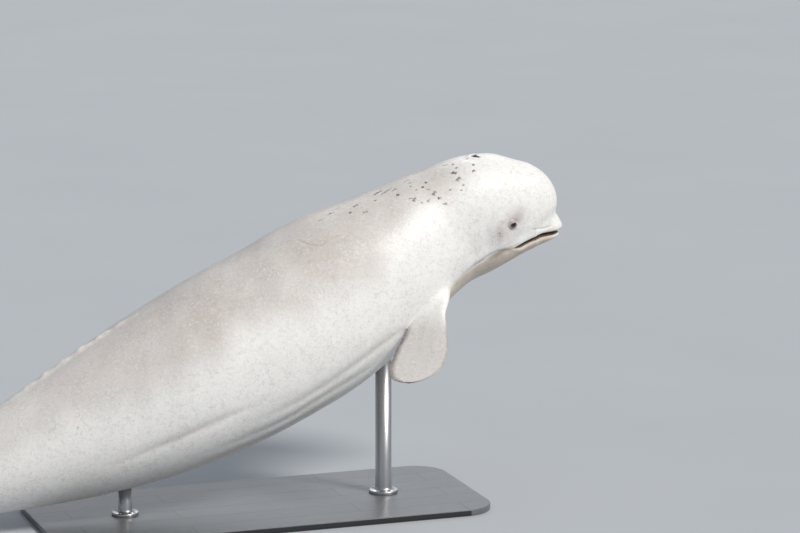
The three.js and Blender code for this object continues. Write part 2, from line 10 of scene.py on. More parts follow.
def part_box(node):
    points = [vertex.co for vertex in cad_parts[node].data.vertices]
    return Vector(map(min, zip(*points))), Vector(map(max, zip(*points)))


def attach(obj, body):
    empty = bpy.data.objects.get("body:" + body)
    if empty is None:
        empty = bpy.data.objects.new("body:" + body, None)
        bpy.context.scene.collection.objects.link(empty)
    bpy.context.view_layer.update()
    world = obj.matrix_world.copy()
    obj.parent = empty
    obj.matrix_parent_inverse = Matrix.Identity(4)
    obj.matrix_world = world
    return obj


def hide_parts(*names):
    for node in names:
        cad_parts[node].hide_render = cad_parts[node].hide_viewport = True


# A life-size adult beluga whale with its head lifted, on a plain display stand.
# The form is worked out in millimetres in a straight frame: s is the distance behind the tip of the
# lips, y is to the animal's left and z is up. place() bends it into its pose, and the meshes are made
# in metres in the row's frame.

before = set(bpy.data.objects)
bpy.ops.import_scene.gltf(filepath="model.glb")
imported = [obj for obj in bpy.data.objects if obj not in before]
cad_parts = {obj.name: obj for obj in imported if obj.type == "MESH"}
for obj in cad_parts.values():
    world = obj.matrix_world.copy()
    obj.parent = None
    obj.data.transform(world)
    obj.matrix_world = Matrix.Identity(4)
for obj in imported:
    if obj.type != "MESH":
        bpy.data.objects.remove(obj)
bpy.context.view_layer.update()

MM = 0.001

# Form of the body, as the solids have it

# Body stations: distance behind the lips, top, bottom, half width, level of the widest point, power
STATIONS = [
    (200, 168, -131, 150, 0, 2.1),
    (420, 268, -206, 205, 5, 2.1),
    (600, 326, -258, 240, -5, 2.1),
    (850, 342, -329, 306, -30, 2.1),
    (1150, 400, -396, 352, -45, 2.1),
    (1550, 396, -432, 384, -50, 2.1),
    (1950, 378, -424, 376, -45, 2.1),
    (2350, 330, -370, 318, -35, 2.05),
    (2750, 262, -282, 232, -22, 1.95),
    (3100, 194, -196, 150, -10, 1.85),
    (3400, 132, -126, 88, 0, 1.8),
    (3650, 84, -70, 48, 4, 1.8),
    (3850, 40, -28, 26, 5, 1.9),
    (3960, 14, -6, 10, 4, 2.0),
]
# The trunk's form starts at TRUNK_FRONT, and behind TRUNK_ALONE no form of the head touches it
TRUNK_FRONT = 205
TRUNK_ALONE = 900
STOCK_TIP = 3958
# Rounded forms of the head: middle (s, z), radii along s, y and z, power, nose-down turn in degrees
HEAD_FORMS = {
    "cranium": ((388, 95), (252, 212, 238), 2.24, 0),
    "melon": ((190, 77), (174, 160, 169), 2.15, -29),
    "beak": ((124, -51), (116, 108, 42), 2.3, -8),
    "jaw": ((180, -111), (164, 104, 35), 2.2, -7),
    "throat": ((380, -103), (190, 165, 100), 2.1, -22),
}
BLENDS = {"cranium": 90, "melon": 68, "beak": 34, "jaw": 60, "throat": 36}
# Middle of the head (s, z), where the rays to its skin start
HEAD_MIDDLE = (300, 10)
# Slope of the spine, nose up, in degrees, at distances behind the lips
SPINE_SLOPES = [
    (0, 7), (300, 7), (620, 18), (1000, 28), (1500, 23.5), (2200, 23), (3000, 17), (3650, 8), (4100, 5),
]
SPINE_STEP = 5

# Edge of the upper lip: distance behind the lips, level
MOUTH_LINE = [(-60, -80), (60, -76), (150, -71), (222, -81), (318, -107)]
MOUTH = {"corner": 320, "gape": 19, "gape_fade": 66, "depth": 40, "round": 7, "wall": 5}
EYE = {"s": 311, "z": 17, "radius": 24, "stand": 6}
LID = {"thick": 3.6, "half_length": 14.5, "upper": 9, "lower": 8, "round": 3}
SOCKET = {"depth": 3.5, "half_length": 62, "half_height": 48, "above": 6}
# Folds round the lids: depth, distance from the opening, half width, levels over which the fold sets in
LID_FOLDS = [(1.8, 8.5, 1.9, (-4, 5)), (1.5, 7, 1.8, (3, -5)), (1.3, 15, 3, (0, -10))]
BLOWHOLE = {"s": 384, "y": -18, "half_width": 31, "bow": 11, "slit": 11.5, "depth": 26}
EAR = {"s": 385, "z": -8, "radius": 2.2, "depth": 6}
RIDGE = {"front": 2062, "back": 2788, "height": 18, "half_width": 17, "bumps": 7, "bump_depth": 0.2}
KEEL = {"height": 7, "rise": (2850, 3000), "fall": (3450, 3640), "half_width": 16}
BELLY = {"navel": 1790, "slit_front": 2530, "slit_back": 2640, "vent": 2760}
FLIPPER = {
    "s": 850, "z": -205, "inset": 110, "length": 470, "root_thick": 70, "tip_thick": 14,
    "back": 0.62, "out": 0.64, "down": 0.45, "curl": 58, "root_twist": 12, "root_flare": 26,
}
# Flipper outline: share of its length, edge ahead of the axis, edge behind it
FLIPPER_EDGES = [
    (0, 106, 102), (0.14, 94, 92), (0.27, 84, 84), (0.42, 98, 106), (0.6, 112, 138), (0.78, 102, 152),
    (0.88, 77, 147), (0.94, 44, 130), (0.975, 12, 106), (0.99, -11, 87), (0.998, -33, 66), (1, -47, 52),
]
FLUKE = {"half_span": 488, "overlap": 20, "root_thick": 60, "tip_thick": 9, "droop": 26}
# Fluke outline: share of the half span, front edge and back edge as distances behind the lips
FLUKE_EDGES = [
    (0, 3578, 3966), (0.12, 3648, 4000), (0.25, 3712, 4032), (0.5, 3796, 4052), (0.75, 3884, 4044),
    (0.9, 3942, 4026), (1, 3990, 4010),
]


def unit(v):
    return v / np.linalg.norm(v)


def raised(v):
    """The direction or its opposite, whichever points up."""
    return v if v[2] >= 0 else -v


def rotated(a, b, degrees):
    """Coordinates of (a, b) along axes turned by an angle."""
    c, n = math.cos(math.radians(degrees)), math.sin(math.radians(degrees))
    return a * c + b * n, -a * n + b * c


def smooth(low, high, x):
    t = np.clip((x - low) / (high - low), 0, 1)
    return t * t * (3 - 2 * t)


def rise_and_fall(rise, fall, x):
    """From 0 to 1 over the first stretch and back to 0 over the second."""
    return smooth(*rise, x) * (1 - smooth(*fall, x))


def mix(a, b, t):
    return a + (b - a) * t


def bell(x, width):
    return np.exp(-(x / width) ** 2)


def through_rows(rows, x):
    """Smooth curves through rows (x, value, ...): one array for each value."""
    table = np.asarray(rows, float)
    xs, ys = table[:, 0], table[:, 1:]
    step = np.diff(xs)[:, None]
    slope = np.diff(ys, axis=0) / step
    tangent = np.empty_like(ys)
    tangent[0], tangent[-1] = slope[0], slope[-1]
    tangent[1:-1] = (slope[:-1] * step[1:] + slope[1:] * step[:-1]) / (step[1:] + step[:-1])
    at = np.clip(x, xs[0], xs[-1])
    i = np.clip(np.searchsorted(xs, at, side="right") - 1, 0, len(xs) - 2)
    width = step[i]
    t = ((at - xs[i]) / width[..., 0])[..., None]
    u = 1 - t
    value = ys[i] * (1 + 2 * t) * u * u + ys[i + 1] * t * t * (3 - 2 * t)
    value += width * (tangent[i] * t * u * u - tangent[i + 1] * t * t * u)
    return np.moveaxis(value, -1, 0)


def blend(a, b, width):
    """Rounded meeting of two fields."""
    h = np.maximum(width - np.abs(a - b), 0) / width
    return np.minimum(a, b) - h * h * width / 4


def head_form(name, s, y, z):
    (at_s, at_z), radii, power, turn = HEAD_FORMS[name]
    ds, dz = rotated(s - at_s, z - at_z, turn)
    total = np.abs(ds / radii[0]) ** power + np.abs(y / radii[1]) ** power + np.abs(dz / radii[2]) ** power
    return (total ** (1 / power) - 1) * min(radii)


def trunk_form(s, y, z):
    top, bottom, half_width, level, power = through_rows(STATIONS, s)
    height = np.where(z > level, top - level, level - bottom)
    reach = (np.abs(y / half_width) ** power + np.abs((z - level) / height) ** power) ** (1 / power)
    return np.maximum((reach - 1) * np.minimum(half_width, height), TRUNK_FRONT - s)


def body_field(s, y, z):
    """Negative inside the body and positive outside it."""
    field = trunk_form(s, y, z)
    near = s <= TRUNK_ALONE
    if near.any():
        at = s[near], y[near], z[near]
        head = field[near]
        for name in ("cranium", "melon", "beak"):
            head = blend(head, head_form(name, *at), BLENDS[name])
        under = blend(head_form("jaw", *at), head_form("throat", *at), BLENDS["jaw"])
        field[near] = blend(head, under, BLENDS["throat"])
    return field


def middle_level(s):
    level = through_rows(STATIONS, s)[3]
    return mix(HEAD_MIDDLE[1], level, smooth(HEAD_MIDDLE[0], 650, s))


def angle_round(points):
    """Angle of each point round the body's middle, from the top, plus to the left."""
    return np.arctan2(points[:, 1], points[:, 2] - middle_level(points[:, 0]))


def cast(origin, direction, far=700.0):
    """Skin points (s, y, z) on rays from inside the body."""
    near = np.zeros(len(origin))
    out = np.full(len(origin), far)
    for _ in range(24):
        middle = (near + out) / 2
        inside = body_field(*(origin + direction * middle[:, None]).T) < 0
        near = np.where(inside, middle, near)
        out = np.where(inside, out, middle)
    return origin + direction * out[:, None]


def base_points(rays):
    """Skin points of rays from the body's middle, given as rows (s of the origin, direction)."""
    s = rays[:, 0]
    return cast(np.stack([s, np.zeros_like(s), middle_level(s)], 1), rays[:, 1:])


def slice_points(s, angle):
    """Skin points at distances s and at angles round the body's middle, from the top, plus to the left."""
    return base_points(np.stack([s, np.zeros_like(s), np.sin(angle), np.cos(angle)], 1))


def side_point(s, z, side):
    """Skin point straight to one side of a place (s, z) on the middle plane."""
    return cast(np.array([[s, 0.0, z]]), np.array([[0.0, side, 0.0]]))[0]


def skin_normal(point):
    h = 0.5
    probes = np.array([point + h * sign * axis for axis in np.eye(3) for sign in (1, -1)])
    value = body_field(*probes.T)
    return unit(value[0::2] - value[1::2])


# Pose

SPINE_S = np.arange(0, 4101, SPINE_STEP, dtype=float)
SPINE_SLOPE = np.radians(through_rows(SPINE_SLOPES, SPINE_S)[0])
SPINE_HALFWAY = (SPINE_SLOPE[1:] + SPINE_SLOPE[:-1]) / 2
SPINE_X = -np.concatenate([[0], np.cumsum(SPINE_STEP * np.cos(SPINE_HALFWAY))])
SPINE_Z = -np.concatenate([[0], np.cumsum(SPINE_STEP * np.sin(SPINE_HALFWAY))])


def spine_at(s):
    """Slope and place of the spine at s; ahead of its start it runs straight on."""
    slope = np.interp(s, SPINE_S, SPINE_SLOPE)
    ahead = np.minimum(s, 0)
    x = np.interp(s, SPINE_S, SPINE_X) - ahead * np.cos(slope)
    z = np.interp(s, SPINE_S, SPINE_Z) - ahead * np.sin(slope)
    return slope, x, z


def place(points):
    """Straight (s, y, z) to posed (x, y, z), with the spine's start at the origin."""
    s, y, z = np.moveaxis(np.asarray(points, float), -1, 0)
    slope, spine_x, spine_z = spine_at(s)
    return np.stack([spine_x - z * np.sin(slope), y, spine_z + z * np.cos(slope)], -1)


def straighten(points):
    """Posed (x, y, z) back to straight (s, y, z)."""
    x, y, z = points.T
    low, high = np.full(len(x), -60.0), np.full(len(x), 4090.0)
    for _ in range(26):
        s = (low + high) / 2
        slope, spine_x, spine_z = spine_at(s)
        dx, dz = x - spine_x, z - spine_z
        beyond = -dx * np.cos(slope) - dz * np.sin(slope) > 0
        low, high = np.where(beyond, s, low), np.where(beyond, high, s)
    return np.stack([s, y, -dx * np.sin(slope) + dz * np.cos(slope)], 1)


def eye_axes(side):
    """Middle of the eyeball, its place on the skin, and the directions outward, to the tail and up."""
    point = side_point(EYE["s"], EYE["z"], side)
    outward = skin_normal(point)
    tailward = unit(np.array([1.0, 0, 0]) - outward[0] * outward)
    upward = raised(np.cross(tailward, outward))
    return point + (EYE["stand"] - EYE["radius"]) * outward, point, outward, tailward, upward


EYES = {side: eye_axes(side) for side in (1, -1)}
low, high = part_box("eye_right")
eye_in_frame = np.array((low + high) / 2) / MM
SHIFT = eye_in_frame - place(EYES[-1][0])


def in_row(points):
    """Posed straight points in metres, in the row's frame."""
    return (place(points) + SHIFT) * MM


# Places on the skin, as (s, angle in degrees from the top); they are set on both sides or on one

LIP_CREASE = [(58, -117), (98, -115), (134, -112.5), (180, -106), (226, -99)]
CHEEK_FOLD = [(222, -72), (256, -87), (292, -99), (338, -111)]
THROAT_CREASE = [
    (306, -124), (340, -122.5), (395, -119.5), (440, -120.2), (490, -122.8), (555, -125), (650, -127),
]
THROAT_FOLD = [(400, -111), (450, -113), (500, -117), (560, -118.5), (640, -120)]
NECK_CREASES = [
    [(470, -150), (452, -120), (448, -88), (462, -60)],
    [(560, -165), (540, -130), (532, -95), (548, -66)],
    [(640, -160), (624, -128), (622, -100)],
]
FLANK_CREASES = [
    [(900, -122), (1200, -118), (1550, -121), (1900, -119)],
    [(1040, -135), (1400, -131), (1750, -134), (2200, -131)],
    [(1150, -149), (1500, -146), (1850, -148), (2350, -145)],
    [(1700, -108), (2000, -106), (2300, -109), (2550, -112)],
]
ARMPIT_CREASES = [
    [(742, -118), (760, -132), (800, -146)],
    [(980, -108), (1010, -122), (1000, -138)],
]
MELON_CREASE = [(198, -27.4), (174, -27), (152, -27.9), (130, -28.8)]
BACK_CREASE = [(1262, -18), (1246, -20.6), (1208, -28.2), (1160, -31), (1130, -28)]
# Small dark scars on the nape and back: s, angle, length, width, turn from the body's length in degrees
SCARS = [
    (504, -21, 20, 12, 40), (502, -28.4, 22, 13, -30), (512, -6.6, 18, 10, 20), (416, -19, 14, 8, 10),
    (430, -25.8, 15, 9, -50), (486, -10.2, 13, 9, 30), (484, -16.6, 13, 8, 80), (494, -35.4, 12, 8, -20),
    (508, -39, 11, 7, 10), (618, -31.8, 22, 12, -35), (606, -37.4, 14, 9, 15), (644, -22.6, 14, 8, 60),
    (654, -35.8, 18, 10, -40), (706, -30.6, 22, 11, -35), (714, -28, 12, 8, 20), (750, -19.8, 20, 10, -20),
    (676, -12.6, 17, 8, 30), (624, -19, 14, 8, 0), (630, -26.2, 12, 7, 45), (682, -35.4, 12, 7, 10),
    (684, -16.6, 12, 7, -15), (680, -7.4, 24, 8, -12), (746, -12.6, 22, 8, -18), (778, -9.6, 44, 9, -16),
    (806, -6, 46, 9, -14), (840, -15, 16, 8, 5), (910, -22.4, 24, 12, 15), (922, -11.8, 34, 9, -10),
    (992, -5.8, 36, 8, -8), (960, -17, 15, 8, 30), (1030, -9, 26, 7, -14), (1090, -12, 18, 7, 8),
    (422, -6.4, 13, 9, 25), (548, -34.6, 12, 7, -10), (594, -44, 13, 8, 20), (676, -22.6, 10, 6, 0),
    (560, 14, 18, 9, 20), (640, 26, 20, 9, -40), (720, 12, 15, 7, 10), (860, 20, 26, 8, -15),
    (480, 22, 14, 8, 35), (505, 30, 12, 7, -25), (600, 33, 15, 8, 10), (930, 9, 20, 7, -20),
]
SCAR_DEPTH = 0.9
scar_s, scar_angle = np.array(SCARS, float)[:, :2].T
SCAR_POINTS = slice_points(scar_s, np.radians(scar_angle))


def skin_path(points, side):
    """Smooth curve on the skin through (s, angle) places given for the right side."""
    table = np.asarray(points, float)
    rows = np.column_stack([np.linspace(0, 1, len(table)), table])
    s, angle = through_rows(rows, np.linspace(0, 1, 24))
    return slice_points(s, np.radians(angle) * -side)


def nearest_on(points, path):
    """Distance of each point from a path, and the share of the path at the nearest place."""
    best = np.full(len(points), 1e9)
    share = np.zeros(len(points))
    margin = 120
    close = np.all((points > path.min(0) - margin) & (points < path.max(0) + margin), axis=1)
    p = points[close]
    d_best, t_best = np.full(len(p), 1e9), np.zeros(len(p))
    for k in range(len(path) - 1):
        a, b = path[k], path[k + 1]
        t = np.clip((p - a) @ (b - a) / ((b - a) @ (b - a)), 0, 1)
        d = np.linalg.norm(p - a - t[:, None] * (b - a), axis=1)
        nearer = d < d_best
        d_best = np.where(nearer, d, d_best)
        t_best = np.where(nearer, (k + t) / (len(path) - 1), t_best)
    best[close], share[close] = d_best, t_best
    return best, share


class Crease:
    """A fold along a path on the skin: negative height is a groove, positive a raised fold."""

    def __init__(self, points, side, height, width, fade):
        self.path = skin_path(points, side)
        self.height, self.width, self.fade = height, width, fade
        self.step = max(2.2, width * 0.45)

    def spread(self, points, size, width):
        """A size on the path that fades to its sides and over its ends."""
        distance, share = nearest_on(points, self.path)
        ends = smooth(0, self.fade, share) * smooth(0, self.fade, 1 - share)
        return size * bell(distance, width) * ends


def both_sides(points, height, width, fade):
    return [Crease(points, side, height, width, fade) for side in (-1, 1)]


CREASES = [
    *both_sides(LIP_CREASE, -3.4, 5, 0.35),
    *both_sides(CHEEK_FOLD, 4.5, 17, 0.45),
    *both_sides(THROAT_CREASE, -6, 11, 0.3),
    *both_sides(THROAT_FOLD, 6, 24, 0.45),
    *[crease for points in NECK_CREASES for crease in both_sides(points, -1.8, 20, 0.5)],
    *[crease for points in FLANK_CREASES for crease in both_sides(points, -6, 28, 0.4)],
    *[crease for points in ARMPIT_CREASES for crease in both_sides(points, -2.5, 20, 0.5)],
    Crease(MELON_CREASE, -1, -3, 6, 0.45),
    Crease(BACK_CREASE, -1, -3, 7, 0.4),
]

# Skin: rays from the body's middle, refined where the surface has detail

COLUMNS = 30
ROUND = 60
MOUTH_ROW = 20
SLICE_STEP = 24
REFINE_ROUNDS = 7
# Longest edge, as a share of the wanted one
LONGEST_EDGE = 1.42
# Plain edges of the skin's mesh: length, distance behind the lips where it begins
PLAIN_EDGES = [(8.0, -60), (13.0, 520), (18.0, 1350), (10.0, 3450)]


def mouth_level(s):
    return through_rows(MOUTH_LINE, s)[0]


def mouth_gape(s):
    return 0.6 + MOUTH["gape"] * smooth(MOUTH["corner"], MOUTH["corner"] - MOUTH["gape_fade"], s)


def mouth_tilts(azimuth):
    """Angles from the upright of rays from the head's middle to the middle of the mouth's gap."""
    tilt = np.full(len(azimuth), 1.9)
    origin = np.tile([HEAD_MIDDLE[0], 0.0, HEAD_MIDDLE[1]], (len(azimuth), 1))
    for _ in range(8):
        flat = np.sin(tilt)
        rays = np.stack([-np.cos(azimuth) * flat, np.sin(azimuth) * flat, np.cos(tilt)], 1)
        s, y, _ = cast(origin, rays).T
        level = mouth_level(s) - mouth_gape(s) / 2
        tilt = np.arctan2(np.hypot(HEAD_MIDDLE[0] - s, y), level - HEAD_MIDDLE[1])
    return tilt


def two_triangles(a, b, c, d):
    """Triangles of four-sided faces, from arrays of their corners."""
    return [np.stack(corners, -1).reshape(-1, 3) for corners in ((a, b, c), (a, c, d))]


def first_rays():
    """Coarse net of rays, its rows along the mouth's line: rows (s of the origin, direction), triangles."""
    angle = 2 * np.pi * np.arange(ROUND) / ROUND
    half = ROUND // 2
    mouth_turn = angle[MOUTH_ROW]
    azimuth = np.linspace(-np.pi / 2, np.pi / 2, COLUMNS + 1)
    turn = angle[:half + 1, None]
    lean = np.where(turn < mouth_turn, turn / mouth_turn, (np.pi - turn) / (np.pi - mouth_turn))
    tilts = mouth_tilts(azimuth)
    tilt = turn + (tilts - mouth_turn) * lean
    flat = np.sin(tilt)
    face = np.stack([-np.cos(azimuth) * flat, np.sin(azimuth) * flat, np.cos(tilt)], -1).reshape(-1, 3)
    rays = [np.column_stack([np.full(len(face), float(HEAD_MIDDLE[0])), face])]
    number = np.arange(len(face)).reshape(half + 1, COLUMNS + 1)
    number[0], number[-1] = number[0, 0], number[-1, 0]
    faces = two_triangles(number[:-1, :-1], number[:-1, 1:], number[1:, 1:], number[1:, :-1])
    ring = np.concatenate([[number[0, 0]], number[1:half, -1], [number[-1, 0]], number[half - 1:0:-1, 0]])
    offset = (tilts[0] - mouth_turn) * np.concatenate([lean[:, 0], lean[half - 1:0:-1, 0]])
    offset *= np.where(np.arange(ROUND) > half, -1, 1)
    total = number.size
    slices = round((STOCK_TIP - HEAD_MIDDLE[0]) / SLICE_STEP) + 1
    for s in np.linspace(HEAD_MIDDLE[0], STOCK_TIP, slices)[1:]:
        turned = angle + offset * (1 - smooth(330, 700, s))
        rays.append(np.stack([np.full(ROUND, s), np.zeros(ROUND), np.sin(turned), np.cos(turned)], 1))
        following = total + np.arange(ROUND)
        faces += two_triangles(ring, np.roll(ring, -1), np.roll(following, -1), following)
        total += ROUND
        ring = following
    rays, faces = np.concatenate(rays), np.concatenate(faces)
    used, faces = np.unique(faces, return_inverse=True)
    rays, faces = rays[used], faces.reshape(-1, 3)
    whole = (faces[:, 0] != faces[:, 1]) & (faces[:, 1] != faces[:, 2]) & (faces[:, 2] != faces[:, 0])
    faces = faces[whole]
    return rays, turned_to(base_points(rays), faces, rays[faces[:, 0], 1:])


def turned_to(points, faces, way):
    """Triangles turned so that they face the ways given."""
    a, b, c = (points[faces[:, k]] for k in range(3))
    backward = np.einsum("ij,ij->i", np.cross(b - a, c - a), way) < 0
    return np.where(backward[:, None], faces[:, ::-1], faces)


def blowhole_s(across):
    """Line of the blowhole, bowed forward at its ends, for shares of its half width."""
    return BLOWHOLE["s"] - BLOWHOLE["bow"] * across ** 2


BLOWHOLE_T = np.linspace(-1, 1, 21)
BLOWHOLE_LINE = np.stack([blowhole_s(BLOWHOLE_T), BLOWHOLE["y"] + BLOWHOLE["half_width"] * BLOWHOLE_T], 1)


def distance_to(points, spot):
    return np.linalg.norm(points - spot, axis=1)


def details(points):
    """For each detail: edge length on it, growth of that length beyond it, distance to it, its reach."""
    s, y, z = points.T
    off_mouth = np.abs(z - mouth_level(s) + mouth_gape(s) / 2) + 2 * np.maximum(s - MOUTH["corner"] - 6, 0)
    off_blowhole = np.hypot(s - BLOWHOLE["s"] + 6, y - BLOWHOLE["y"]) + np.where(z > 100, 0, 1e3)
    on_ridge = (s > RIDGE["front"] - 40) & (s < RIDGE["back"] + 40) & (z > 100)
    yield 1.5, 0.3, off_mouth, 15
    yield 1.7, 0.25, off_blowhole, 40
    yield 6, 0.4, np.where(on_ridge, np.abs(y), np.inf), 34
    for side, (_, eye, *_) in EYES.items():
        yield 1.0, 0.2, distance_to(points, eye), 24
        yield 1.4, 0.3, distance_to(points, (EAR["s"], side * 208.0, EAR["z"])), 10
        yield 6, 0.2, distance_to(points, (FLIPPER["s"] + 20, side * 290.0, FLIPPER["z"])), 130
    for crease in CREASES:
        yield crease.step, 0.4, nearest_on(points, crease.path)[0], 1.2 * crease.width
    for scar in SCAR_POINTS:
        yield 2.2, 0.4, distance_to(points, scar), 13


def wanted_step(points):
    """Length that the mesh's edges should have at each place."""
    step = np.zeros(len(points))
    for length, begin in PLAIN_EDGES:
        step = np.where(points[:, 0] >= begin, length, step)
    for least, growth, distance, reach in details(points):
        step = np.minimum(step, least + growth * np.maximum(distance - reach, 0))
    return step


def split_faces(faces, edge_of, middle_of):
    """Faces with some edges halved: edge_of is a face's three edges, middle_of a new vertex or -1."""
    middles = middle_of[edge_of]
    halved = middles >= 0
    count = halved.sum(1)
    made = [faces[count == 0]]
    for wanted in (1, 2, 3):
        chosen = count == wanted
        f, m, h = faces[chosen], middles[chosen], halved[chosen]
        turn = np.zeros(len(f), int)
        if wanted == 1:
            turn = np.argmax(h, 1)
        elif wanted == 2:
            turn = (np.argmin(h, 1) + 1) % 3
        order = (turn[:, None] + np.arange(3)) % 3
        a, b, c = np.take_along_axis(f, order, 1).T
        ab, bc, ca = np.take_along_axis(m, order, 1).T
        pieces = {
            1: [(a, ab, c), (ab, b, c)],
            2: [(ab, b, bc), (a, ab, bc), (a, bc, c)],
            3: [(a, ab, ca), (ab, b, bc), (ca, bc, c), (ab, bc, ca)],
        }
        made += [np.stack(piece, 1) for piece in pieces[wanted]]
    return np.concatenate(made)


def refine(rays, faces):
    """Rays, their skin points and triangles, after halving the edges that are too long."""
    points = base_points(rays)
    for _ in range(REFINE_ROUNDS):
        corners = np.stack([faces, np.roll(faces, -1, 1)], -1)
        pairs = np.sort(corners.reshape(-1, 2), 1)
        keys, back = np.unique(pairs[:, 0] * len(rays) + pairs[:, 1], return_inverse=True)
        a, b = keys // len(rays), keys % len(rays)
        length = np.linalg.norm(points[a] - points[b], axis=1)
        long = length > LONGEST_EDGE * wanted_step((points[a] + points[b]) / 2)
        if not long.any():
            break
        middle_of = np.full(len(keys), -1)
        middle_of[long] = len(rays) + np.arange(long.sum())
        made = rays[a[long]] + rays[b[long]]
        made[:, 0] /= 2
        made[:, 1:] /= np.linalg.norm(made[:, 1:], axis=1)[:, None]
        faces = split_faces(faces, back.reshape(-1, 3), middle_of)
        rays = np.concatenate([rays, made])
        points = np.concatenate([points, base_points(made)])
    return rays, points, faces


# Height of the skin over the plain form

def rounded_edge(away, radius):
    """Fall of a rounded edge at a distance from it."""
    inward = np.clip(radius - away, 0, radius)
    return radius - np.sqrt(radius ** 2 - inward ** 2)


def lip_heights(points):
    """Height of the lips with the mouth's gap, and the share of the gap at each place."""
    s, _, z = points.T
    level, gape = mouth_level(s), mouth_gape(s)
    corner, radius = MOUTH["corner"], MOUTH["round"]
    above, below = z - level, level - gape - z
    upper = 4 * rise_and_fall((0, 12), (18, 44), above)
    lower = 4 * rise_and_fall((0, 9), (13, 38), below)
    height = (upper + lower) * (1 - smooth(corner - 55, corner + 4, s))
    depth = 5 + (MOUTH["depth"] - 5) * smooth(corner + 3, corner - 50, s)
    inside = np.minimum(-above, -below)
    edge = np.where(above > 0, rounded_edge(above, radius), rounded_edge(below, radius))
    drop = np.where(inside > 0, radius + (depth - radius) * smooth(0, MOUTH["wall"], inside), edge)
    closing = 1 - smooth(corner - 12, corner + 3, s)
    return height - drop * closing, smooth(-1, 3, inside) * closing


def eye_heights(points, side):
    """Socket, lids and the opening over the eyeball, as heights along the eye's outward direction."""
    _, point, outward, tailward, upward = EYES[side]
    away = points - point
    a, b, own = away @ tailward, away @ upward, away @ outward
    flat = a ** 2 + b ** 2

    def dome(radius):
        return np.sqrt(np.maximum(radius ** 2 - flat, 0)) - (EYE["radius"] - EYE["stand"])

    hollow = SOCKET["depth"] * bell(a, SOCKET["half_length"])
    hollow = hollow * bell(b - SOCKET["above"], SOCKET["half_height"])
    skin = -blend(-dome(EYE["radius"] + LID["thick"]), hollow - own, 9)
    half = np.where(b > 0, LID["upper"], LID["lower"])
    off = ((np.abs(a / LID["half_length"]) ** 1.8 + np.abs(b / half) ** 2) ** 0.5 - 1) * half
    folds = sum(depth * bell(off - at, width) * smooth(*levels, b) for depth, at, width, levels in LID_FOLDS)
    skin = skin - folds * smooth(30, 20, np.sqrt(flat)) - rounded_edge(off, LID["round"])
    height = mix(skin, dome(EYE["radius"] - 3.5), smooth(0, -2.4, off)) - own
    near = (np.linalg.norm(away, axis=1) < 120) & (points[:, 1] * side > 0)
    return np.where(near, height * smooth(120, 90, np.sqrt(flat)), 0)


def blowhole_heights(points):
    """Height round the blowhole, and the share of its opening at each place."""
    s, y, z = points.T
    distance, share = nearest_on(np.stack([s, y], 1), BLOWHOLE_LINE)
    t = 2 * share - 1
    inside = BLOWHOLE["slit"] * np.sqrt(np.maximum(1 - 0.8 * t ** 2, 0)) + 0.6 - distance
    behind = smooth(-6, 10, s - blowhole_s((y - BLOWHOLE["y"]) / BLOWHOLE["half_width"]))
    rim = (0.4 + 2.0 * behind) * bell(-inside - 9, 8) - 1.6 * bell(distance - 42, 12)
    lip = 2.5 * (1 - np.sqrt(1 - np.clip((inside + 2.5) / 2.5, 0, 1) ** 2))
    drop = np.where(inside > 0, 2.5 + (BLOWHOLE["depth"] - 2.5) * smooth(0, 6, inside), lip)
    on_top = (z > 100) & (distance < 80)
    return np.where(on_top, rim - drop, 0), np.where(on_top, smooth(-0.5, 2, inside), 0)


def ear_heights(points):
    height = np.zeros(len(points))
    for side in (1, -1):
        distance = distance_to(points, side_point(EAR["s"], EAR["z"], side))
        height -= EAR["depth"] * smooth(EAR["radius"] + 1, EAR["radius"] - 1.5, distance)
        height += 0.8 * bell(distance - 7, 3.5)
    return height


def ridge_heights(points):
    """Knobbed ridge along the back, and the keel behind it."""
    s, y, z = points.T
    t = (s - RIDGE["front"]) / (RIDGE["back"] - RIDGE["front"])
    fade = np.maximum(np.sin(np.pi * np.clip(t, 0, 1)), 0) ** 0.6
    bump = 1 - RIDGE["bump_depth"] * (1 - np.cos(2 * np.pi * RIDGE["bumps"] * t + 0.6 * np.sin(9 * t)))
    notches = 1 + 0.16 * np.sin(s / 9.5 + 1.5 * np.sin(s / 61)) * bell(np.abs(y) - 12, 8)
    across = np.exp(-(np.abs(y) / RIDGE["half_width"]) ** 2.2)
    keel = KEEL["height"] * rise_and_fall(KEEL["rise"], KEEL["fall"], s) * bell(y, KEEL["half_width"])
    return np.where(z > 0, RIDGE["height"] * fade * bump * across * notches + keel, 0)


def belly_heights(points):
    """Navel, genital slit with its swollen edges, and vent on the underside."""
    s, y, z = points.T
    front, back = BELLY["slit_front"], BELLY["slit_back"]
    from_navel = np.hypot(s - BELLY["navel"], y)
    navel = 2 * bell(from_navel - 20, 9) - 5 * bell(from_navel, 11)
    slit = -9 * bell(y, 5) * rise_and_fall((front - 30, front), (back, back + 40), s)
    slit += 3 * bell(np.abs(y) - 15, 9) * rise_and_fall((front - 40, front), (back, back + 50), s)
    vent = -5 * bell(np.hypot((s - BELLY["vent"]) / 1.6, y), 6)
    return np.where(z < 0, navel + slit + vent, 0)


# Slow swells of the blubber under the skin: length of the waves, height
SWELLS = [(700, 1.6), (430, 1.0), (260, 0.5), (150, 0.25), (80, 0.16)]


def soft_unevenness(points):
    """Height of the swells, from three seeded waves of each length."""
    draw = np.random.default_rng(7)
    s, angle = points[:, 0], angle_round(points)
    height = np.zeros(len(points))
    for length, size in SWELLS:
        for _ in range(3):
            phase, lean = draw.uniform(0, 2 * np.pi), draw.uniform(-1, 1)
            turns = max(1, round(1500 / length * draw.uniform(0.4, 1)))
            along = 2 * np.pi * s / length * (1 - 0.3 * abs(lean))
            height += size / 1.7 * np.sin(along + turns * angle + phase)
    return height * smooth(330, 800, s) * (1 - 0.6 * smooth(3200, 3700, s))


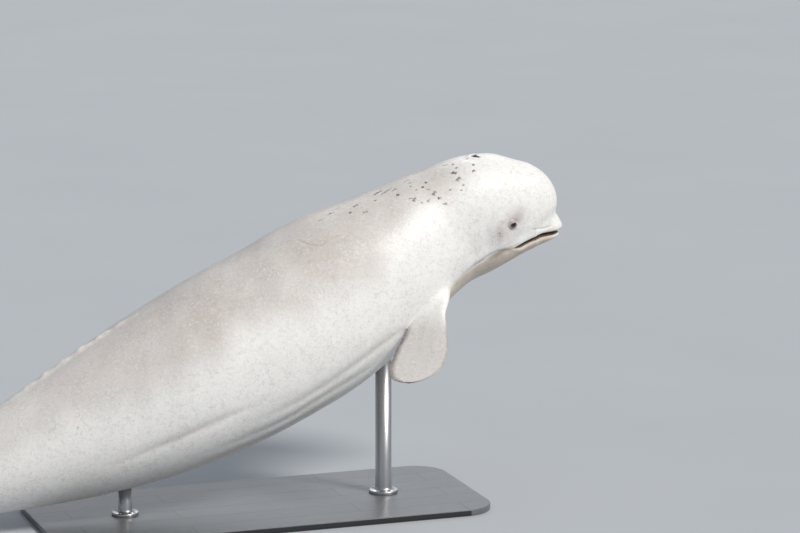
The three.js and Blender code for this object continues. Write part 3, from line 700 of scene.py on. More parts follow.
def scar_marks(points):
    """Share of scar at each place."""
    mark = np.zeros(len(points))
    for (_, _, length, width, turn), centre in zip(SCARS, SCAR_POINTS):
        close = distance_to(points, centre) < length + 10
        away = points[close] - centre
        across = np.hypot(away[:, 1], away[:, 2]) * np.sign(away[:, 1])
        u, v = rotated(away[:, 0], across, turn)
        wobble = 0.3 * np.sin(u / 2.6 + turn) + 0.24 * np.sin(v / 1.9 + length) + 0.2 * np.sin((u + v) / 1.7)
        reach = np.sqrt((2 * u / length) ** 2 + (1.8 * v / width) ** 2) + wobble
        mark[close] = np.maximum(mark[close], (0.72 + 0.2 * np.sin(length)) * smooth(1.45, 0.65, reach))
    return mark


def skin_mesh():
    """Straight points of the skin and its triangles."""
    rays, points, faces = refine(*first_rays())
    height = lip_heights(points)[0]
    height += blowhole_heights(points)[0] + ear_heights(points)
    height += ridge_heights(points) + belly_heights(points)
    for crease in CREASES:
        height += crease.spread(points, crease.height, crease.width)
    height += soft_unevenness(points) - SCAR_DEPTH * scar_marks(points)
    out = points + rays[:, 1:] * height[:, None]
    for side, (_, _, outward, *_) in EYES.items():
        out += eye_heights(points, side)[:, None] * outward
    ring = np.nonzero(np.abs(rays[:, 0] - STOCK_TIP) < 1e-6)[0]
    order = ring[np.argsort(np.arctan2(rays[ring, 2], rays[ring, 3]))]
    cap = np.stack([order, np.roll(order, -1), np.full(len(order), len(out))], 1)
    out = np.concatenate([out, [[STOCK_TIP + 4.0, 0, 4]]])
    return out, np.concatenate([faces, turned_to(out, cap, np.tile([1.0, 0, 0], (len(cap), 1)))])


# Flippers and flukes

def closed_loft(rings):
    """Points and triangles of a surface through rings, closed by the middle of the first and a tip."""
    count, size = rings.shape[:2]
    start, before, end = rings[0].mean(0), rings[-2].mean(0), rings[-1].mean(0)
    number = np.arange(count * size).reshape(count, size)
    following = np.roll(number, -1, 1)
    faces = two_triangles(number[:-1], following[:-1], following[1:], number[1:])
    faces.append(np.stack([np.full(size, count * size), following[0], number[0]], 1))
    faces.append(np.stack([np.full(size, count * size + 1), number[-1], following[-1]], 1))
    tip = end + (end - before) * 0.6
    return np.concatenate([rings.reshape(-1, 3), [start, tip]]), np.concatenate(faces)


def flipper_axes(side):
    """Hidden start of a flipper, and the directions along it and to its front edge."""
    along = unit(np.array([FLIPPER["back"], side * FLIPPER["out"], -FLIPPER["down"]]))
    forward = unit(np.array([-1.0, 0, 0]) + along[0] * along)
    return side_point(FLIPPER["s"], FLIPPER["z"], side) - along * FLIPPER["inset"], along, forward


def flipper_mesh(side):
    start, along, forward = flipper_axes(side)
    upward = raised(unit(np.cross(forward, along)))
    sections, size = 84, 96
    t = 1 - (1 - np.arange(sections) / (sections - 0.45)) ** 1.5
    front, back = through_rows(FLIPPER_EDGES, t)
    back = back + 2.2 * np.sin(t * 34) * rise_and_fall((0.45, 0.7), (0.93, 1), t)
    thick = mix(FLIPPER["root_thick"], FLIPPER["tip_thick"], np.minimum(1, 1.25 * t) ** 0.7)
    thick = thick + FLIPPER["root_flare"] * smooth(0.36, 0.12, t)
    twist = math.radians(FLIPPER["root_twist"]) * (1 - t)
    a = 2 * np.pi * np.arange(size) / size
    t, front, back, thick, twist = (v[:, None] for v in (t, front, back, thick, twist))
    across = (front - back) / 2 + (front + back) / 2 * np.cos(a)
    chord = (across + back) / (front + back)
    fingers = 1 + 0.05 * np.cos(2 * np.pi * 4.2 * chord) * smooth(0.35, 0.6, t) * np.abs(np.sin(a))
    rumple = 0.8 * np.sin(across / 11 + 5 * t) * smooth(0.55, 0.2, t) * np.abs(np.sin(a))
    lift = thick / 2 * np.sin(a) * (0.72 + 0.28 * np.cos(a)) * fingers + rumple + FLIPPER["curl"] * t ** 3
    reach = (FLIPPER["length"] + FLIPPER["inset"]) * t
    return closed_loft(
        start + along * reach[..., None]
        + forward * (across * np.cos(twist) - lift * np.sin(twist))[..., None]
        + upward * (across * np.sin(twist) + lift * np.cos(twist))[..., None]
    )


def fluke_mesh():
    """Both blades as one surface, from the left tip to the right one."""
    half, size = 62, 96
    share = 1 - (1 - np.arange(half) / (half - 0.6)) ** 1.2
    start = FLUKE["overlap"] / FLUKE["half_span"]
    t = start + (1 - start) * share
    t = np.concatenate([t[:0:-1], t])
    side = np.concatenate([np.full(half - 1, 1.0), np.full(half, -1.0)])
    y = side * (FLUKE["half_span"] * t - FLUKE["overlap"])
    front, back = through_rows(FLUKE_EDGES, t)
    ragged = np.sin(t * 41) + 0.7 * np.sin(t * 67 + side) + 0.5 * np.sin(t * 103 + 2 * side)
    back = back + 1.1 * ragged * rise_and_fall((0.2, 0.4), (0.85, 1), t)
    thick = mix(FLUKE["root_thick"], FLUKE["tip_thick"], t ** 0.75)
    a = 2 * np.pi * np.arange(size) / size
    t, y, front, back, thick = (v[:, None] for v in (t, y, front, back, thick))
    s = (front + back) / 2 - (back - front) / 2 * np.cos(a)
    z = 3 + thick / 2 * np.sin(a) * (0.74 + 0.26 * np.cos(a)) - FLUKE["droop"] * t ** 2
    rings = np.stack([s, np.broadcast_to(y, s.shape), z], -1)
    points, faces = closed_loft(rings)
    points[-2] = rings[0].mean(0) + [0, 6, 0]
    return points, faces


# Joining, and the fillets where the fins grow from the body

BODY, FLIPPERS, FLUKES = 0, 1, 2
FILLET_ROUNDS = 170
FILLET_REACH = 34.0


def add_object(name, data):
    obj = bpy.data.objects.new(name, data)
    bpy.context.scene.collection.objects.link(obj)
    return obj


def mesh_object(name, points, faces):
    mesh = bpy.data.meshes.new(name)
    mesh.from_pydata(points.tolist(), [], faces)
    mesh.update()
    return add_object(name, mesh)


def closed_object(name, points, faces, part=BODY):
    """Object of a closed surface, with its triangles turned outward."""
    a, b, c = (points[faces[:, k]] for k in range(3))
    volume = np.einsum("ij,ij->i", a, np.cross(b, c)).sum()
    obj = mesh_object(name, points, (faces if volume > 0 else faces[:, ::-1]).tolist())
    obj.data.polygons.foreach_set("material_index", np.full(len(faces), part, np.int32))
    return obj


def points_of(mesh):
    flat = np.empty(len(mesh.vertices) * 3)
    mesh.vertices.foreach_get("co", flat)
    return flat.reshape(-1, 3)


def triangles_of(mesh):
    faces = np.empty(len(mesh.loops), np.int32)
    mesh.loops.foreach_get("vertex_index", faces)
    return faces.reshape(-1, 3)


def join_fins(body, fins):
    for fin in fins:
        cut = body.modifiers.new("join", "BOOLEAN")
        cut.operation = "UNION"
        cut.solver = "MANIFOLD"
        cut.object = fin
    bpy.context.view_layer.update()
    graph = bpy.context.evaluated_depsgraph_get()
    whole = bpy.data.meshes.new_from_object(body.evaluated_get(graph))
    work = bmesh.new()
    work.from_mesh(whole)
    bmesh.ops.triangulate(work, faces=[face for face in work.faces if len(face.verts) > 3])
    work.to_mesh(whole)
    work.free()
    body.modifiers.clear()
    body.data = whole
    for fin in fins:
        bpy.data.objects.remove(fin)
    return whole


def fillet(mesh, part):
    """Rounds the meeting of the parts by moving the vertices near it towards their neighbours."""
    points = points_of(mesh)
    faces = triangles_of(mesh)
    least, most = np.full(len(points), 9), np.full(len(points), -1)
    for k in range(3):
        np.minimum.at(least, faces[:, k], part)
        np.maximum.at(most, faces[:, k], part)
    seam = np.nonzero(least != most)[0]
    tree = KDTree(len(seam))
    for n, v in enumerate(seam):
        tree.insert(points[v], n)
    tree.balance()
    box = (points > points[seam].min(0) - 0.1) & (points < points[seam].max(0) + 0.1)
    near = np.nonzero(box.all(1))[0]
    distance = np.array([tree.find(points[v])[2] for v in near]) / MM
    weight = np.zeros(len(points))
    weight[near] = np.where(distance < 3 * FILLET_REACH, bell(distance, FILLET_REACH), 0)
    touched = faces[(weight[faces] > 0).any(1)]
    used, touched = np.unique(touched, return_inverse=True)
    touched = touched.reshape(-1, 3)
    moving, share = points[used], 0.5 * weight[used, None]
    count = len(used)
    start, end = touched.ravel(), np.roll(touched, -1, 1).ravel()
    degree = (np.bincount(start, minlength=count) + np.bincount(end, minlength=count))[:, None]
    for _ in range(FILLET_ROUNDS):
        total = np.stack([
            np.bincount(start, moving[end, k], count) + np.bincount(end, moving[start, k], count)
            for k in range(3)
        ], 1)
        moving += (total / degree - moving) * share
    points[used] = moving
    mesh.vertices.foreach_set("co", points.ravel())
    mesh.update()


# Materials

class Nodes:
    """Short hand for a material's nodes."""

    def __init__(self, name):
        self.material = bpy.data.materials.new(name)
        self.material.use_nodes = True
        self.tree = self.material.node_tree

    def feed(self, node, inputs):
        """Links inputs to sockets, or sets them to numbers, vectors or opaque colours."""
        for key, value in inputs.items():
            socket = node.inputs[key]
            if isinstance(value, bpy.types.NodeSocket):
                self.tree.links.new(value, socket)
            elif socket.type == "RGBA":
                socket.default_value = (*value, 1.0)
            else:
                socket.default_value = value

    def add(self, kind, inputs, **settings):
        node = self.tree.nodes.new(kind)
        for key, value in settings.items():
            setattr(node, key, value)
        self.feed(node, inputs)
        return node

    def place(self, scale=(1, 1, 1)):
        coordinates = self.add("ShaderNodeTexCoord", {}).outputs["Object"]
        return self.add("ShaderNodeMapping", {"Vector": coordinates, "Scale": scale}).outputs["Vector"]

    def noise(self, scale, detail, roughness, at=None, distortion=0.0):
        return self.add("ShaderNodeTexNoise", {
            "Vector": at or self.place(), "Scale": scale, "Detail": detail, "Roughness": roughness,
            "Distortion": distortion,
        }).outputs["Fac"]

    def spots(self, scale):
        return self.add("ShaderNodeTexVoronoi", {"Vector": self.place(), "Scale": scale}).outputs["Distance"]

    def attribute(self, name):
        return self.add("ShaderNodeAttribute", {}, attribute_name=name).outputs["Fac"]

    def remap(self, value, low, high, to_low=0.0, to_high=1.0):
        return self.add("ShaderNodeMapRange", {
            "Value": value, "From Min": low, "From Max": high, "To Min": to_low, "To Max": to_high,
        }).outputs["Result"]

    def times(self, a, b):
        return self.add("ShaderNodeMath", {0: a, 1: b}, operation="MULTIPLY").outputs["Value"]

    def mixed(self, factor, a, b):
        """Colour between a and b."""
        return self.add("ShaderNodeMix", {0: factor, 6: a, 7: b}, data_type="RGBA").outputs[2]

    def layers(self, colour, *rows):
        """Colour with rows of (factor, colour) laid over it, one after another."""
        for factor, over in rows:
            colour = self.mixed(factor, colour, over)
        return colour

    def bumps(self, *rows):
        """Normal of rows of (height, distance, strength), each over the ones before it."""
        normal = {}
        for height, distance, strength in rows:
            inputs = {"Height": height, "Distance": distance, "Strength": strength, **normal}
            normal = {"Normal": self.add("ShaderNodeBump", inputs).outputs["Normal"]}
        return normal["Normal"]

    def finish(self, colour, roughness, **others):
        inputs = {name.replace("_", " "): value for name, value in others.items()}
        shader = self.tree.nodes["Principled BSDF"]
        self.feed(shader, {"Base Color": colour, "Roughness": roughness, **inputs})
        return self.material


WHITE = (0.86, 0.848, 0.822)
PEARL = (0.76, 0.742, 0.718)
# Back colours: a grey-beige tone, partly painted shade where the top of the body turns from the light
BACK_BEIGE_AND_SHADE = (0.51, 0.44, 0.388)
BACK_GREY_AND_SHADE = (0.485, 0.447, 0.43)
# Throat colour: a beige tone, partly painted shade under the throat and along the belly
THROAT_BEIGE_AND_SHADE = (0.56, 0.46, 0.365)
FIN_GREY = (0.46, 0.42, 0.395)
EDGE_BROWN = (0.17, 0.145, 0.135)
SCAR_BROWN = (0.10, 0.075, 0.065)
# Painted shade round the eyes
SOCKET_SHADE_MAUVE = (0.36, 0.29, 0.29)
# Painted shade in folds and grooves
FOLD_SHADE_BROWN = (0.25, 0.195, 0.16)
# Painted shade inside the mouth's gap, the blowhole and the lids' openings
OPENING_SHADE_DARK = (0.085, 0.055, 0.04)
# Specks: a mottled tone, the grey ones partly painted tiny shadows and the light ones partly painted glints
# of wet skin
SPECK_GREY_AND_SHADOW = (0.40, 0.37, 0.35)
SPECK_LIGHT_AND_GLINT = (0.93, 0.925, 0.91)


def skin_material():
    n = Nodes("beluga_skin")
    stretched = n.place((0.35, 1, 1))
    broad = n.noise(3.4, 5, 0.62)
    patches = n.noise(9, 5, 0.62, distortion=0.4)
    mottle = n.noise(42, 5, 0.68)
    grains = n.noise(88, 3, 0.6)
    fine = n.noise(150, 4, 0.62)
    streaks = n.noise(26, 5, 0.7, at=stretched)
    back = n.times(n.attribute("back"), n.remap(broad, 0.3, 0.62, 0.6, 1.0))
    grain_share = n.remap(patches, 0.35, 0.65, 0.25, 1.0)
    colour = n.layers(
        WHITE,
        (n.remap(patches, 0.38, 0.7, 0, 0.5), PEARL),
        # Back: grey-beige tone, partly painted shade on the top
        (
            n.times(back, n.remap(mottle, 0.3, 0.62, 1.0, 0.72)),
            n.mixed(n.remap(streaks, 0.35, 0.65), BACK_BEIGE_AND_SHADE, BACK_GREY_AND_SHADE),
        ),
        # Throat and belly: beige tone, partly painted shade underneath
        (n.times(n.attribute("under"), n.remap(streaks, 0.25, 0.7, 1.0, 0.7)), THROAT_BEIGE_AND_SHADE),
        (n.attribute("fin"), FIN_GREY),
        (n.times(n.attribute("margin"), n.remap(streaks, 0.25, 0.6, 0.6, 1.0)), EDGE_BROWN),
        # Painted grey-mauve shade round the eyes
        (n.attribute("socket"), SOCKET_SHADE_MAUVE),
        # Specks: mottled tone, partly painted tiny shadows and painted glints of wet skin
        (n.remap(mottle, 0.50, 0.72, 0, 0.30), SPECK_GREY_AND_SHADOW),
        (n.times(n.remap(grains, 0.54, 0.66, 0, 0.30), grain_share), SPECK_GREY_AND_SHADOW),
        (n.times(n.remap(grains, 0.46, 0.34, 0, 0.34), grain_share), SPECK_LIGHT_AND_GLINT),
        (n.remap(fine, 0.55, 0.72, 0, 0.32), SPECK_GREY_AND_SHADOW),
        # Painted shade in the grooves and behind the corner of the mouth
        (n.attribute("crease"), FOLD_SHADE_BROWN),
        (n.attribute("scar"), SCAR_BROWN),
        # Painted shade inside the mouth, the blowhole and the lids' openings
        (n.attribute("mouth"), OPENING_SHADE_DARK),
    )
    normal = n.bumps(
        (n.noise(14, 3, 0.5, at=stretched), 0.003, 0.3),
        (mottle, 0.0022, 0.4),
        (grains, 0.0014, 0.4),
        (fine, 0.0012, 0.5),
        (n.remap(n.spots(240), 0.0, 0.25), 0.0005, 0.5),
    )
    return n.finish(
        colour, n.remap(fine, 0.35, 0.7, 0.40, 0.62), Normal=normal, Coat_Weight=0.12, Coat_Roughness=0.28,
        Subsurface_Weight=0.05, Subsurface_Scale=0.01,
    )


def eye_material():
    n = Nodes("eye_brown")
    fibres = n.noise(900, 4, 0.6)
    iris = n.mixed(n.remap(fibres, 0.35, 0.65), (0.058, 0.021, 0.008), (0.018, 0.007, 0.004))
    colour = n.layers(
        iris,
        (n.attribute("rim"), (0.10, 0.036, 0.022)),
        (n.attribute("pupil"), (0.004, 0.004, 0.005)),
    )
    roughness = n.remap(fibres, 0.3, 0.7, 0.10, 0.16)
    return n.finish(colour, roughness, Coat_Weight=0.5, Coat_Roughness=0.03, Specular_IOR_Level=0.25)


def timber_material():
    n = Nodes("stand_painted_timber")
    boards = n.add("ShaderNodeTexBrick", {
        "Vector": n.place(), "Scale": 1.0, "Mortar Size": 0.0012, "Mortar Smooth": 0.3,
        "Brick Width": 1.3, "Row Height": 0.15, "Color1": (0, 0, 0), "Color2": (1, 1, 1),
    }, offset=0.37)
    joints = boards.outputs["Fac"]
    grain = n.noise(5, 7, 0.66, at=n.place((0.9, 11, 11)), distortion=1.1)
    pores = n.noise(150, 3, 0.6, at=n.place((0.08, 1.5, 1.5)))
    colour = n.layers(
        n.mixed(n.remap(grain, 0.36, 0.62), (0.095, 0.101, 0.108), (0.160, 0.168, 0.178)),
        (n.times(boards.outputs["Color"], 0.4), (0.106, 0.112, 0.119)),
        (n.remap(pores, 0.54, 0.68, 0, 0.5), (0.062, 0.066, 0.071)),
        (joints, (0.014, 0.015, 0.017)),
    )
    normal = n.bumps((grain, 0.0008, 0.3), (pores, 0.0006, 0.5), (n.remap(joints, 0, 1, 1, 0), 0.001, 0.6))
    roughness = n.remap(grain, 0.3, 0.7, 0.34, 0.5)
    return n.finish(colour, roughness, Normal=normal, Coat_Weight=0.25, Coat_Roughness=0.2)


def steel_material():
    n = Nodes("stand_steel")
    brushed = n.noise(60, 5, 0.7, at=n.place((1, 1, 0.05)))
    lines = n.noise(420, 3, 0.6, at=n.place((0.08, 0.08, 3)))
    colour = n.mixed(n.remap(brushed, 0.3, 0.7), (0.46, 0.46, 0.47), (0.60, 0.60, 0.61))
    roughness = n.remap(lines, 0.3, 0.7, 0.26, 0.42)
    return n.finish(colour, roughness, Normal=n.bumps((lines, 0.0003, 0.4)), Metallic=1.0)


def floor_material():
    n = Nodes("pale_floor")
    cloud = n.noise(0.7, 4, 0.5)
    colour = n.mixed(n.remap(cloud, 0.3, 0.7), (0.425, 0.45, 0.48), (0.44, 0.465, 0.494))
    normal = n.bumps((n.noise(60, 3, 0.6), 0.001, 0.2))
    return n.finish(colour, 0.85, Normal=normal, Specular_IOR_Level=0.2)


# Markings of the skin, painted shade among them, each a share from 0 to 1 at every vertex

# Painted grey-mauve shade round the eye, on the upper lid and on the cheek: distance behind it and above it,
# half length, half height, strength
EYE_PAINTED_SHADES = [
    (-34, 36, 48, 42, 0.46), (-4, 10, 34, 24, 0.46), (74, -28, 17, 34, 0.34), (52, 26, 9, 8, 0.34),
    (72, -22, 75, 58, 0.40), (-12, -24, 26, 10, 0.22), (0, 14, 18, 10, 0.58),
]
# Shade behind the corner of the mouth: distance behind the lips, level, half length, half height, strength
CORNER_SHADE = {"s": 392, "z": -107, "half_length": 56, "half_height": 13, "strength": 0.85}
# Grooves at least this deep get painted shade, by this share
SHADED_GROOVE_DEPTH, GROOVE_SHADE_SHARE = -3, 0.38


def back_and_under_shade(points):
    """Beige-grey of the back and beige of the throat with a trace of it along the belly, each partly a tone
    and partly painted shade.
    """
    s = points[:, 0]
    turn = np.abs(np.degrees(angle_round(points)))
    wave = 5 * np.sin(s / 160 + 0.7) + 3 * np.sin(s / 71) + 2 * np.sin(s / 33 + 2)
    lower_edge = mix(38, 62, smooth(450, 1150, s)) + wave
    # Top of the body: grey-beige tone, partly painted shade where it turns from the light
    back = smooth(16, -16, turn - lower_edge) * smooth(400, 600, s + wave) * (1 - 0.4 * smooth(1700, 2900, s))
    under_edge = mix(118, 124, smooth(400, 500, s)) + 0.25 * wave
    # Under the throat: beige tone, partly painted shade of the underside
    under = smooth(-3, 7, turn - under_edge) * (1 - smooth(640, 1000, s)) * smooth(30, 120, s)
    return back, np.maximum(under, 0.30 * smooth(130, 160, turn) * smooth(500, 900, s))


def flipper_share(points):
    """Share of a flipper's length, distance ahead of its axis, and those from its front and rear edges."""
    side = np.where(points[:, 1] > 0, 1.0, -1.0)
    mirrored = points * np.stack([np.ones(len(points)), side, np.ones(len(points))], 1)
    start, along, forward = flipper_axes(1)
    away = mirrored - start
    t = np.clip(away @ along / (FLIPPER["length"] + FLIPPER["inset"]), 0, 1)
    across = away @ forward
    front, back = through_rows(FLIPPER_EDGES, t)
    return t, across, front - across, across + back


def fin_and_margin(points, faces, part):
    """Grey of the fins and dark of their rear edges."""
    s, y, _ = points.T
    of_flipper, of_fluke = np.zeros(len(points), bool), np.zeros(len(points), bool)
    of_flipper[faces[part == FLIPPERS].ravel()] = True
    of_fluke[faces[part == FLUKES].ravel()] = True
    t, _, to_front, to_back = flipper_share(points)
    fin = np.where(of_flipper, 0.55 * smooth(0.18, 0.5, t), 0)
    fin = np.where(of_fluke, 0.5 * smooth(40, 160, np.abs(y)), fin)
    margin = np.where(of_flipper, smooth(34, 6, np.minimum(to_back, to_front + 14)) * smooth(0.3, 0.5, t), 0)
    fluke_t = np.clip((np.abs(y) + FLUKE["overlap"]) / FLUKE["half_span"], 0, 1)
    fluke_back = through_rows(FLUKE_EDGES, fluke_t)[1]
    return fin, np.where(of_fluke, smooth(64, 10, fluke_back - s), margin)


def eye_shade_and_opening(points):
    """Painted grey-mauve shade round the eyes, and painted shade in the lids' openings."""
    opening, socket = np.zeros(len(points)), np.zeros(len(points))
    for side, (_, point, _, tailward, upward) in EYES.items():
        away = points - point
        a, b = away @ tailward, away @ upward
        here = points[:, 1] * side > 0
        eye_shade = sum(
            strength * np.exp(-((a - along) / wide) ** 2 - ((b - up) / tall) ** 2)
            for along, up, wide, tall, strength in EYE_PAINTED_SHADES
        )
        close = np.sqrt((a / 17) ** 2 + (b / 13.5) ** 2)
        # Painted shade on the lids, darker towards their opening
        eye_shade = np.maximum(eye_shade, 0.5 * smooth(3, 1.4, close) + 0.4 * smooth(1.5, 0.95, close))
        socket = np.where(here, np.maximum(socket, eye_shade), socket)
        # Painted shade in the opening between the lids
        opening = np.maximum(opening, np.where(here & (np.hypot(a, b) < 60), smooth(1.12, 0.85, close), 0))
    return np.minimum(socket, 0.9), opening


def groove_shade(points):
    """Painted shade in the deeper grooves and in the fold behind the corner of the mouth."""
    s, _, z = points.T
    shade, marks = CORNER_SHADE, np.zeros(len(points))
    for fold in CREASES:
        # Painted shade along the deeper grooves
        if fold.height <= SHADED_GROOVE_DEPTH:
            marks = np.maximum(marks, fold.spread(points, GROOVE_SHADE_SHARE, 0.5 * fold.width))
    behind = s - shade["s"]
    corner = shade["strength"] * bell(behind, shade["half_length"])
    corner = corner * bell(z - shade["z"] + 0.2 * behind, shade["half_height"])
    return np.maximum(marks, np.where(np.abs(angle_round(points)) > np.pi / 2, corner, 0))


def write_marks(mesh, marks):
    for name, value in marks.items():
        layer = mesh.attributes.new(name, "FLOAT", "POINT")
        layer.data.foreach_set("value", np.clip(value, 0, 1).astype(np.float32))


def paint(mesh, part):
    """Markings, painted shade among them, as attributes of the vertices, and the map for baking."""
    points = straighten(points_of(mesh) / MM - SHIFT)
    faces = triangles_of(mesh)
    back, under = back_and_under_shade(points)
    fin, margin = fin_and_margin(points, faces, part)
    socket, opening = eye_shade_and_opening(points)
    # Painted shade inside the mouth's gap
    in_gap = (points[:, 0] < MOUTH["corner"]) & (np.abs(angle_round(points)) > np.pi / 3)
    gap = np.where(in_gap, lip_heights(points)[1], 0)
    # crease, socket and mouth hold painted shade; back and under hold a tone with painted shade
    write_marks(mesh, {
        "back": back, "under": under, "fin": fin, "margin": margin, "socket": socket,
        "crease": groove_shade(points), "scar": scar_marks(points),
        "mouth": np.maximum.reduce([gap, blowhole_heights(points)[1], 0.9 * opening]),
    })
    lay_out(mesh, points, faces, part)


# Steps on the map for baking from an underside to its top and from the right flipper to the left
TO_TOP, TO_LEFT = 0.13, 0.16


def lay_out(mesh, points, faces, part):
    """The map for baking: a disc for the face, a strip for the body, and top and bottom of each fin."""
    corner = points[faces]
    s, y, z = (corner[..., k] for k in range(3))
    ahead, up = HEAD_MIDDLE[0] - s, z - HEAD_MIDDLE[1]
    polar, around = np.arctan2(np.hypot(y, up), ahead), np.arctan2(y, up)
    disc = np.stack([0.14 + 0.076 * polar * np.sin(around), 0.86 + 0.076 * polar * np.cos(around)], -1)
    turn = (angle_round(corner.reshape(-1, 3)).reshape(s.shape) / (2 * np.pi)) % 1
    wide = turn.max(1) - turn.min(1) > 0.5
    turn = np.where(wide[:, None] & (turn < 0.5), turn + 1, turn)
    strip = np.stack([0.01 + 0.97 * (s - 300) / 3700, 0.01 + 0.66 * turn / 1.02], -1)
    normal = np.cross(corner[:, 1] - corner[:, 0], corner[:, 2] - corner[:, 0])
    lift = np.where(normal[:, 2] > 0, TO_TOP, 0)[:, None]
    fluke = np.stack([0.42 + (y / 1000) * 0.20, 0.72 + (s - 3560) / 500 * 0.10 + lift], -1)
    t, across, _, _ = flipper_share(corner.reshape(-1, 3))
    t, across = t.reshape(s.shape), across.reshape(s.shape)
    aside = np.where(y.mean(1) > 0, TO_LEFT, 0)[:, None]
    paddle = np.stack([0.60 + 0.13 * t + aside, 0.76 + across / 1000 * 0.22 + lift], -1)
    uv = np.where((s.mean(1) < HEAD_MIDDLE[0])[:, None, None], disc, strip)
    uv = np.where((part == FLUKES)[:, None, None], fluke, uv)
    uv = np.where((part == FLIPPERS)[:, None, None], paddle, uv)
    mesh.uv_layers.new(name="OFBake").data.foreach_set("uv", uv.reshape(-1).astype(np.float32))


# Whale

def finish_piece(obj, material, slot, *nodes):
    obj.data.materials.clear()
    obj.data.materials.append(material)
    obj.data.polygons.foreach_set("material_index", np.zeros(len(obj.data.polygons), np.int32))
    obj.data.polygons.foreach_set("use_smooth", np.ones(len(obj.data.polygons), bool))
    obj.data.update()
    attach(obj, "root")
    if nodes:
        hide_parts(*nodes)


def make_whale():
    """One skin in place of the flesh nodes: the body, joined with the flukes and the flippers."""
    surfaces = [("whale_skin", skin_mesh(), BODY), ("fluke_blades", fluke_mesh(), FLUKES)]
    surfaces += [(f"flipper_{side}", flipper_mesh(side), FLIPPERS) for side in (1, -1)]
    whale, *fins = [
        closed_object(name, in_row(points), faces, part) for name, (points, faces), part in surfaces
    ]
    for index in (BODY, FLIPPERS, FLUKES):
        whale.data.materials.append(bpy.data.materials.new(f"part_{index}"))
    mesh = join_fins(whale, fins)
    part = np.empty(len(mesh.polygons), np.int32)
    mesh.polygons.foreach_get("material_index", part)
    fillet(mesh, part)
    paint(mesh, part)
    nodes = [
        "head", "lower_jaw", "neck", "chest", "torso", "loin", "tail_stock", "dorsal_ridge",
        "flipper_left", "flipper_right", "fluke_left", "fluke_right",
    ]
    finish_piece(whale, skin_material(), "skin", *nodes)


# The eyeball is a little smaller than the solid's, with a cornea that rises in front
EYEBALL = {"gap": 0.35, "cornea": 0.9, "cornea_degrees": 26, "forward": 0.10}
# Soft edges of the pupil and of the iris, in degrees from the way the eye looks
PUPIL_EDGE, IRIS_EDGE = (15, 12), (32, 39)


def make_eye(side, name, material):
    """Eyeball with a raised cornea, looking outward and a little forward."""
    centre, _, outward, tailward, upward = EYES[side]
    look = unit(outward - EYEBALL["forward"] * tailward)
    across = unit(np.cross(upward, look))
    over = np.cross(look, across)
    rings, size = 72, 96
    polar = (np.pi * np.arange(1, rings) / rings)[:, None, None]
    turn = (2 * np.pi * np.arange(size) / size)[:, None]
    ball = EYE["radius"] - EYEBALL["gap"]
    radius = ball + EYEBALL["cornea"] * bell(np.degrees(polar), EYEBALL["cornea_degrees"])
    ring = np.cos(turn) * across + np.sin(turn) * over
    points, faces = closed_loft(centre + radius * (np.cos(polar) * look + np.sin(polar) * ring))
    points[-2] = centre + look * (ball + EYEBALL["cornea"])
    points[-1] = centre - look * ball
    obj = closed_object(name, in_row(points), faces)
    away = points - centre
    facing = (away / np.linalg.norm(away, axis=1)[:, None]) @ look
    off_axis = np.degrees(np.arccos(np.clip(facing, -1, 1)))
    off_level = np.abs(away @ upward)
    write_marks(obj.data, {
        "pupil": smooth(*PUPIL_EDGE, off_axis * (1 + 0.02 * off_level)),
        "rim": smooth(*IRIS_EDGE, off_axis),
    })
    finish_piece(obj, material, "eye", name.replace("eyeball", "eye"))


# Stand, in metres

BASE_CORNER = 0.16
BASE_EDGE = 0.005
FOOT_WIDTH = 0.030
BOLT_INSET = 0.013
FOOT_TOP = 0.0155


def rounded_outline(length, width, corner, per_corner=14):
    points = []
    for quarter, (cx, cy) in enumerate([(1, 1), (-1, 1), (-1, -1), (1, -1)]):
        for k in range(per_corner + 1):
            turn = (quarter + k / per_corner) * np.pi / 2
            points.append((
                cx * (length / 2 - corner) + corner * math.cos(turn),
                cy * (width / 2 - corner) + corner * math.sin(turn),
            ))
    return np.array(points)


def make_base(material):
    """Board with a rounded edge, in the CAD base's box."""
    low, high = (np.array(v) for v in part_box("stand_base"))
    size, middle = high - low, (high + low) / 2
    steps = 6
    quarter = [k / steps * np.pi / 2 for k in range(steps + 1)]
    edge = [(low[2] + BASE_EDGE * (1 - math.cos(t)), BASE_EDGE * (1 - math.sin(t))) for t in quarter]
    edge += [(high[2] - BASE_EDGE * (1 - math.sin(t)), BASE_EDGE * (1 - math.cos(t))) for t in quarter]
    rings = []
    for level, inward in edge:
        outline = rounded_outline(size[0] - 2 * inward, size[1] - 2 * inward, BASE_CORNER - inward)
        rings.append(np.column_stack([outline + middle[:2], np.full(len(outline), level)]))
    rings = np.array(rings)
    number = np.arange(rings[..., 0].size).reshape(rings.shape[:2])
    following = np.roll(number, -1, 1)
    sides = np.stack([number[:-1], following[:-1], following[1:], number[1:]], -1).reshape(-1, 4)
    faces = [*sides.tolist(), number[0, ::-1].tolist(), number[-1].tolist()]
    board = mesh_object("base_board", rings.reshape(-1, 3), faces)
    finish_piece(board, material, "stand_base", "stand_base")
    polygons = board.data.polygons
    polygons.foreach_set("use_smooth", [len(face.vertices) <= 4 for face in polygons])


def lathe(name, profile, x, y, around=96):
    """Surface of turning a profile of (radius, level) round an upright axis."""
    turn = 2 * np.pi * np.arange(around) / around
    rings = np.stack([
        np.column_stack([x + r * np.cos(turn), y + r * np.sin(turn), np.full(around, level)])
        for r, level in profile
    ])
    points, faces = closed_loft(rings)
    points[-2], points[-1] = rings[0].mean(0), rings[-1].mean(0)
    return closed_object(name, points, faces)


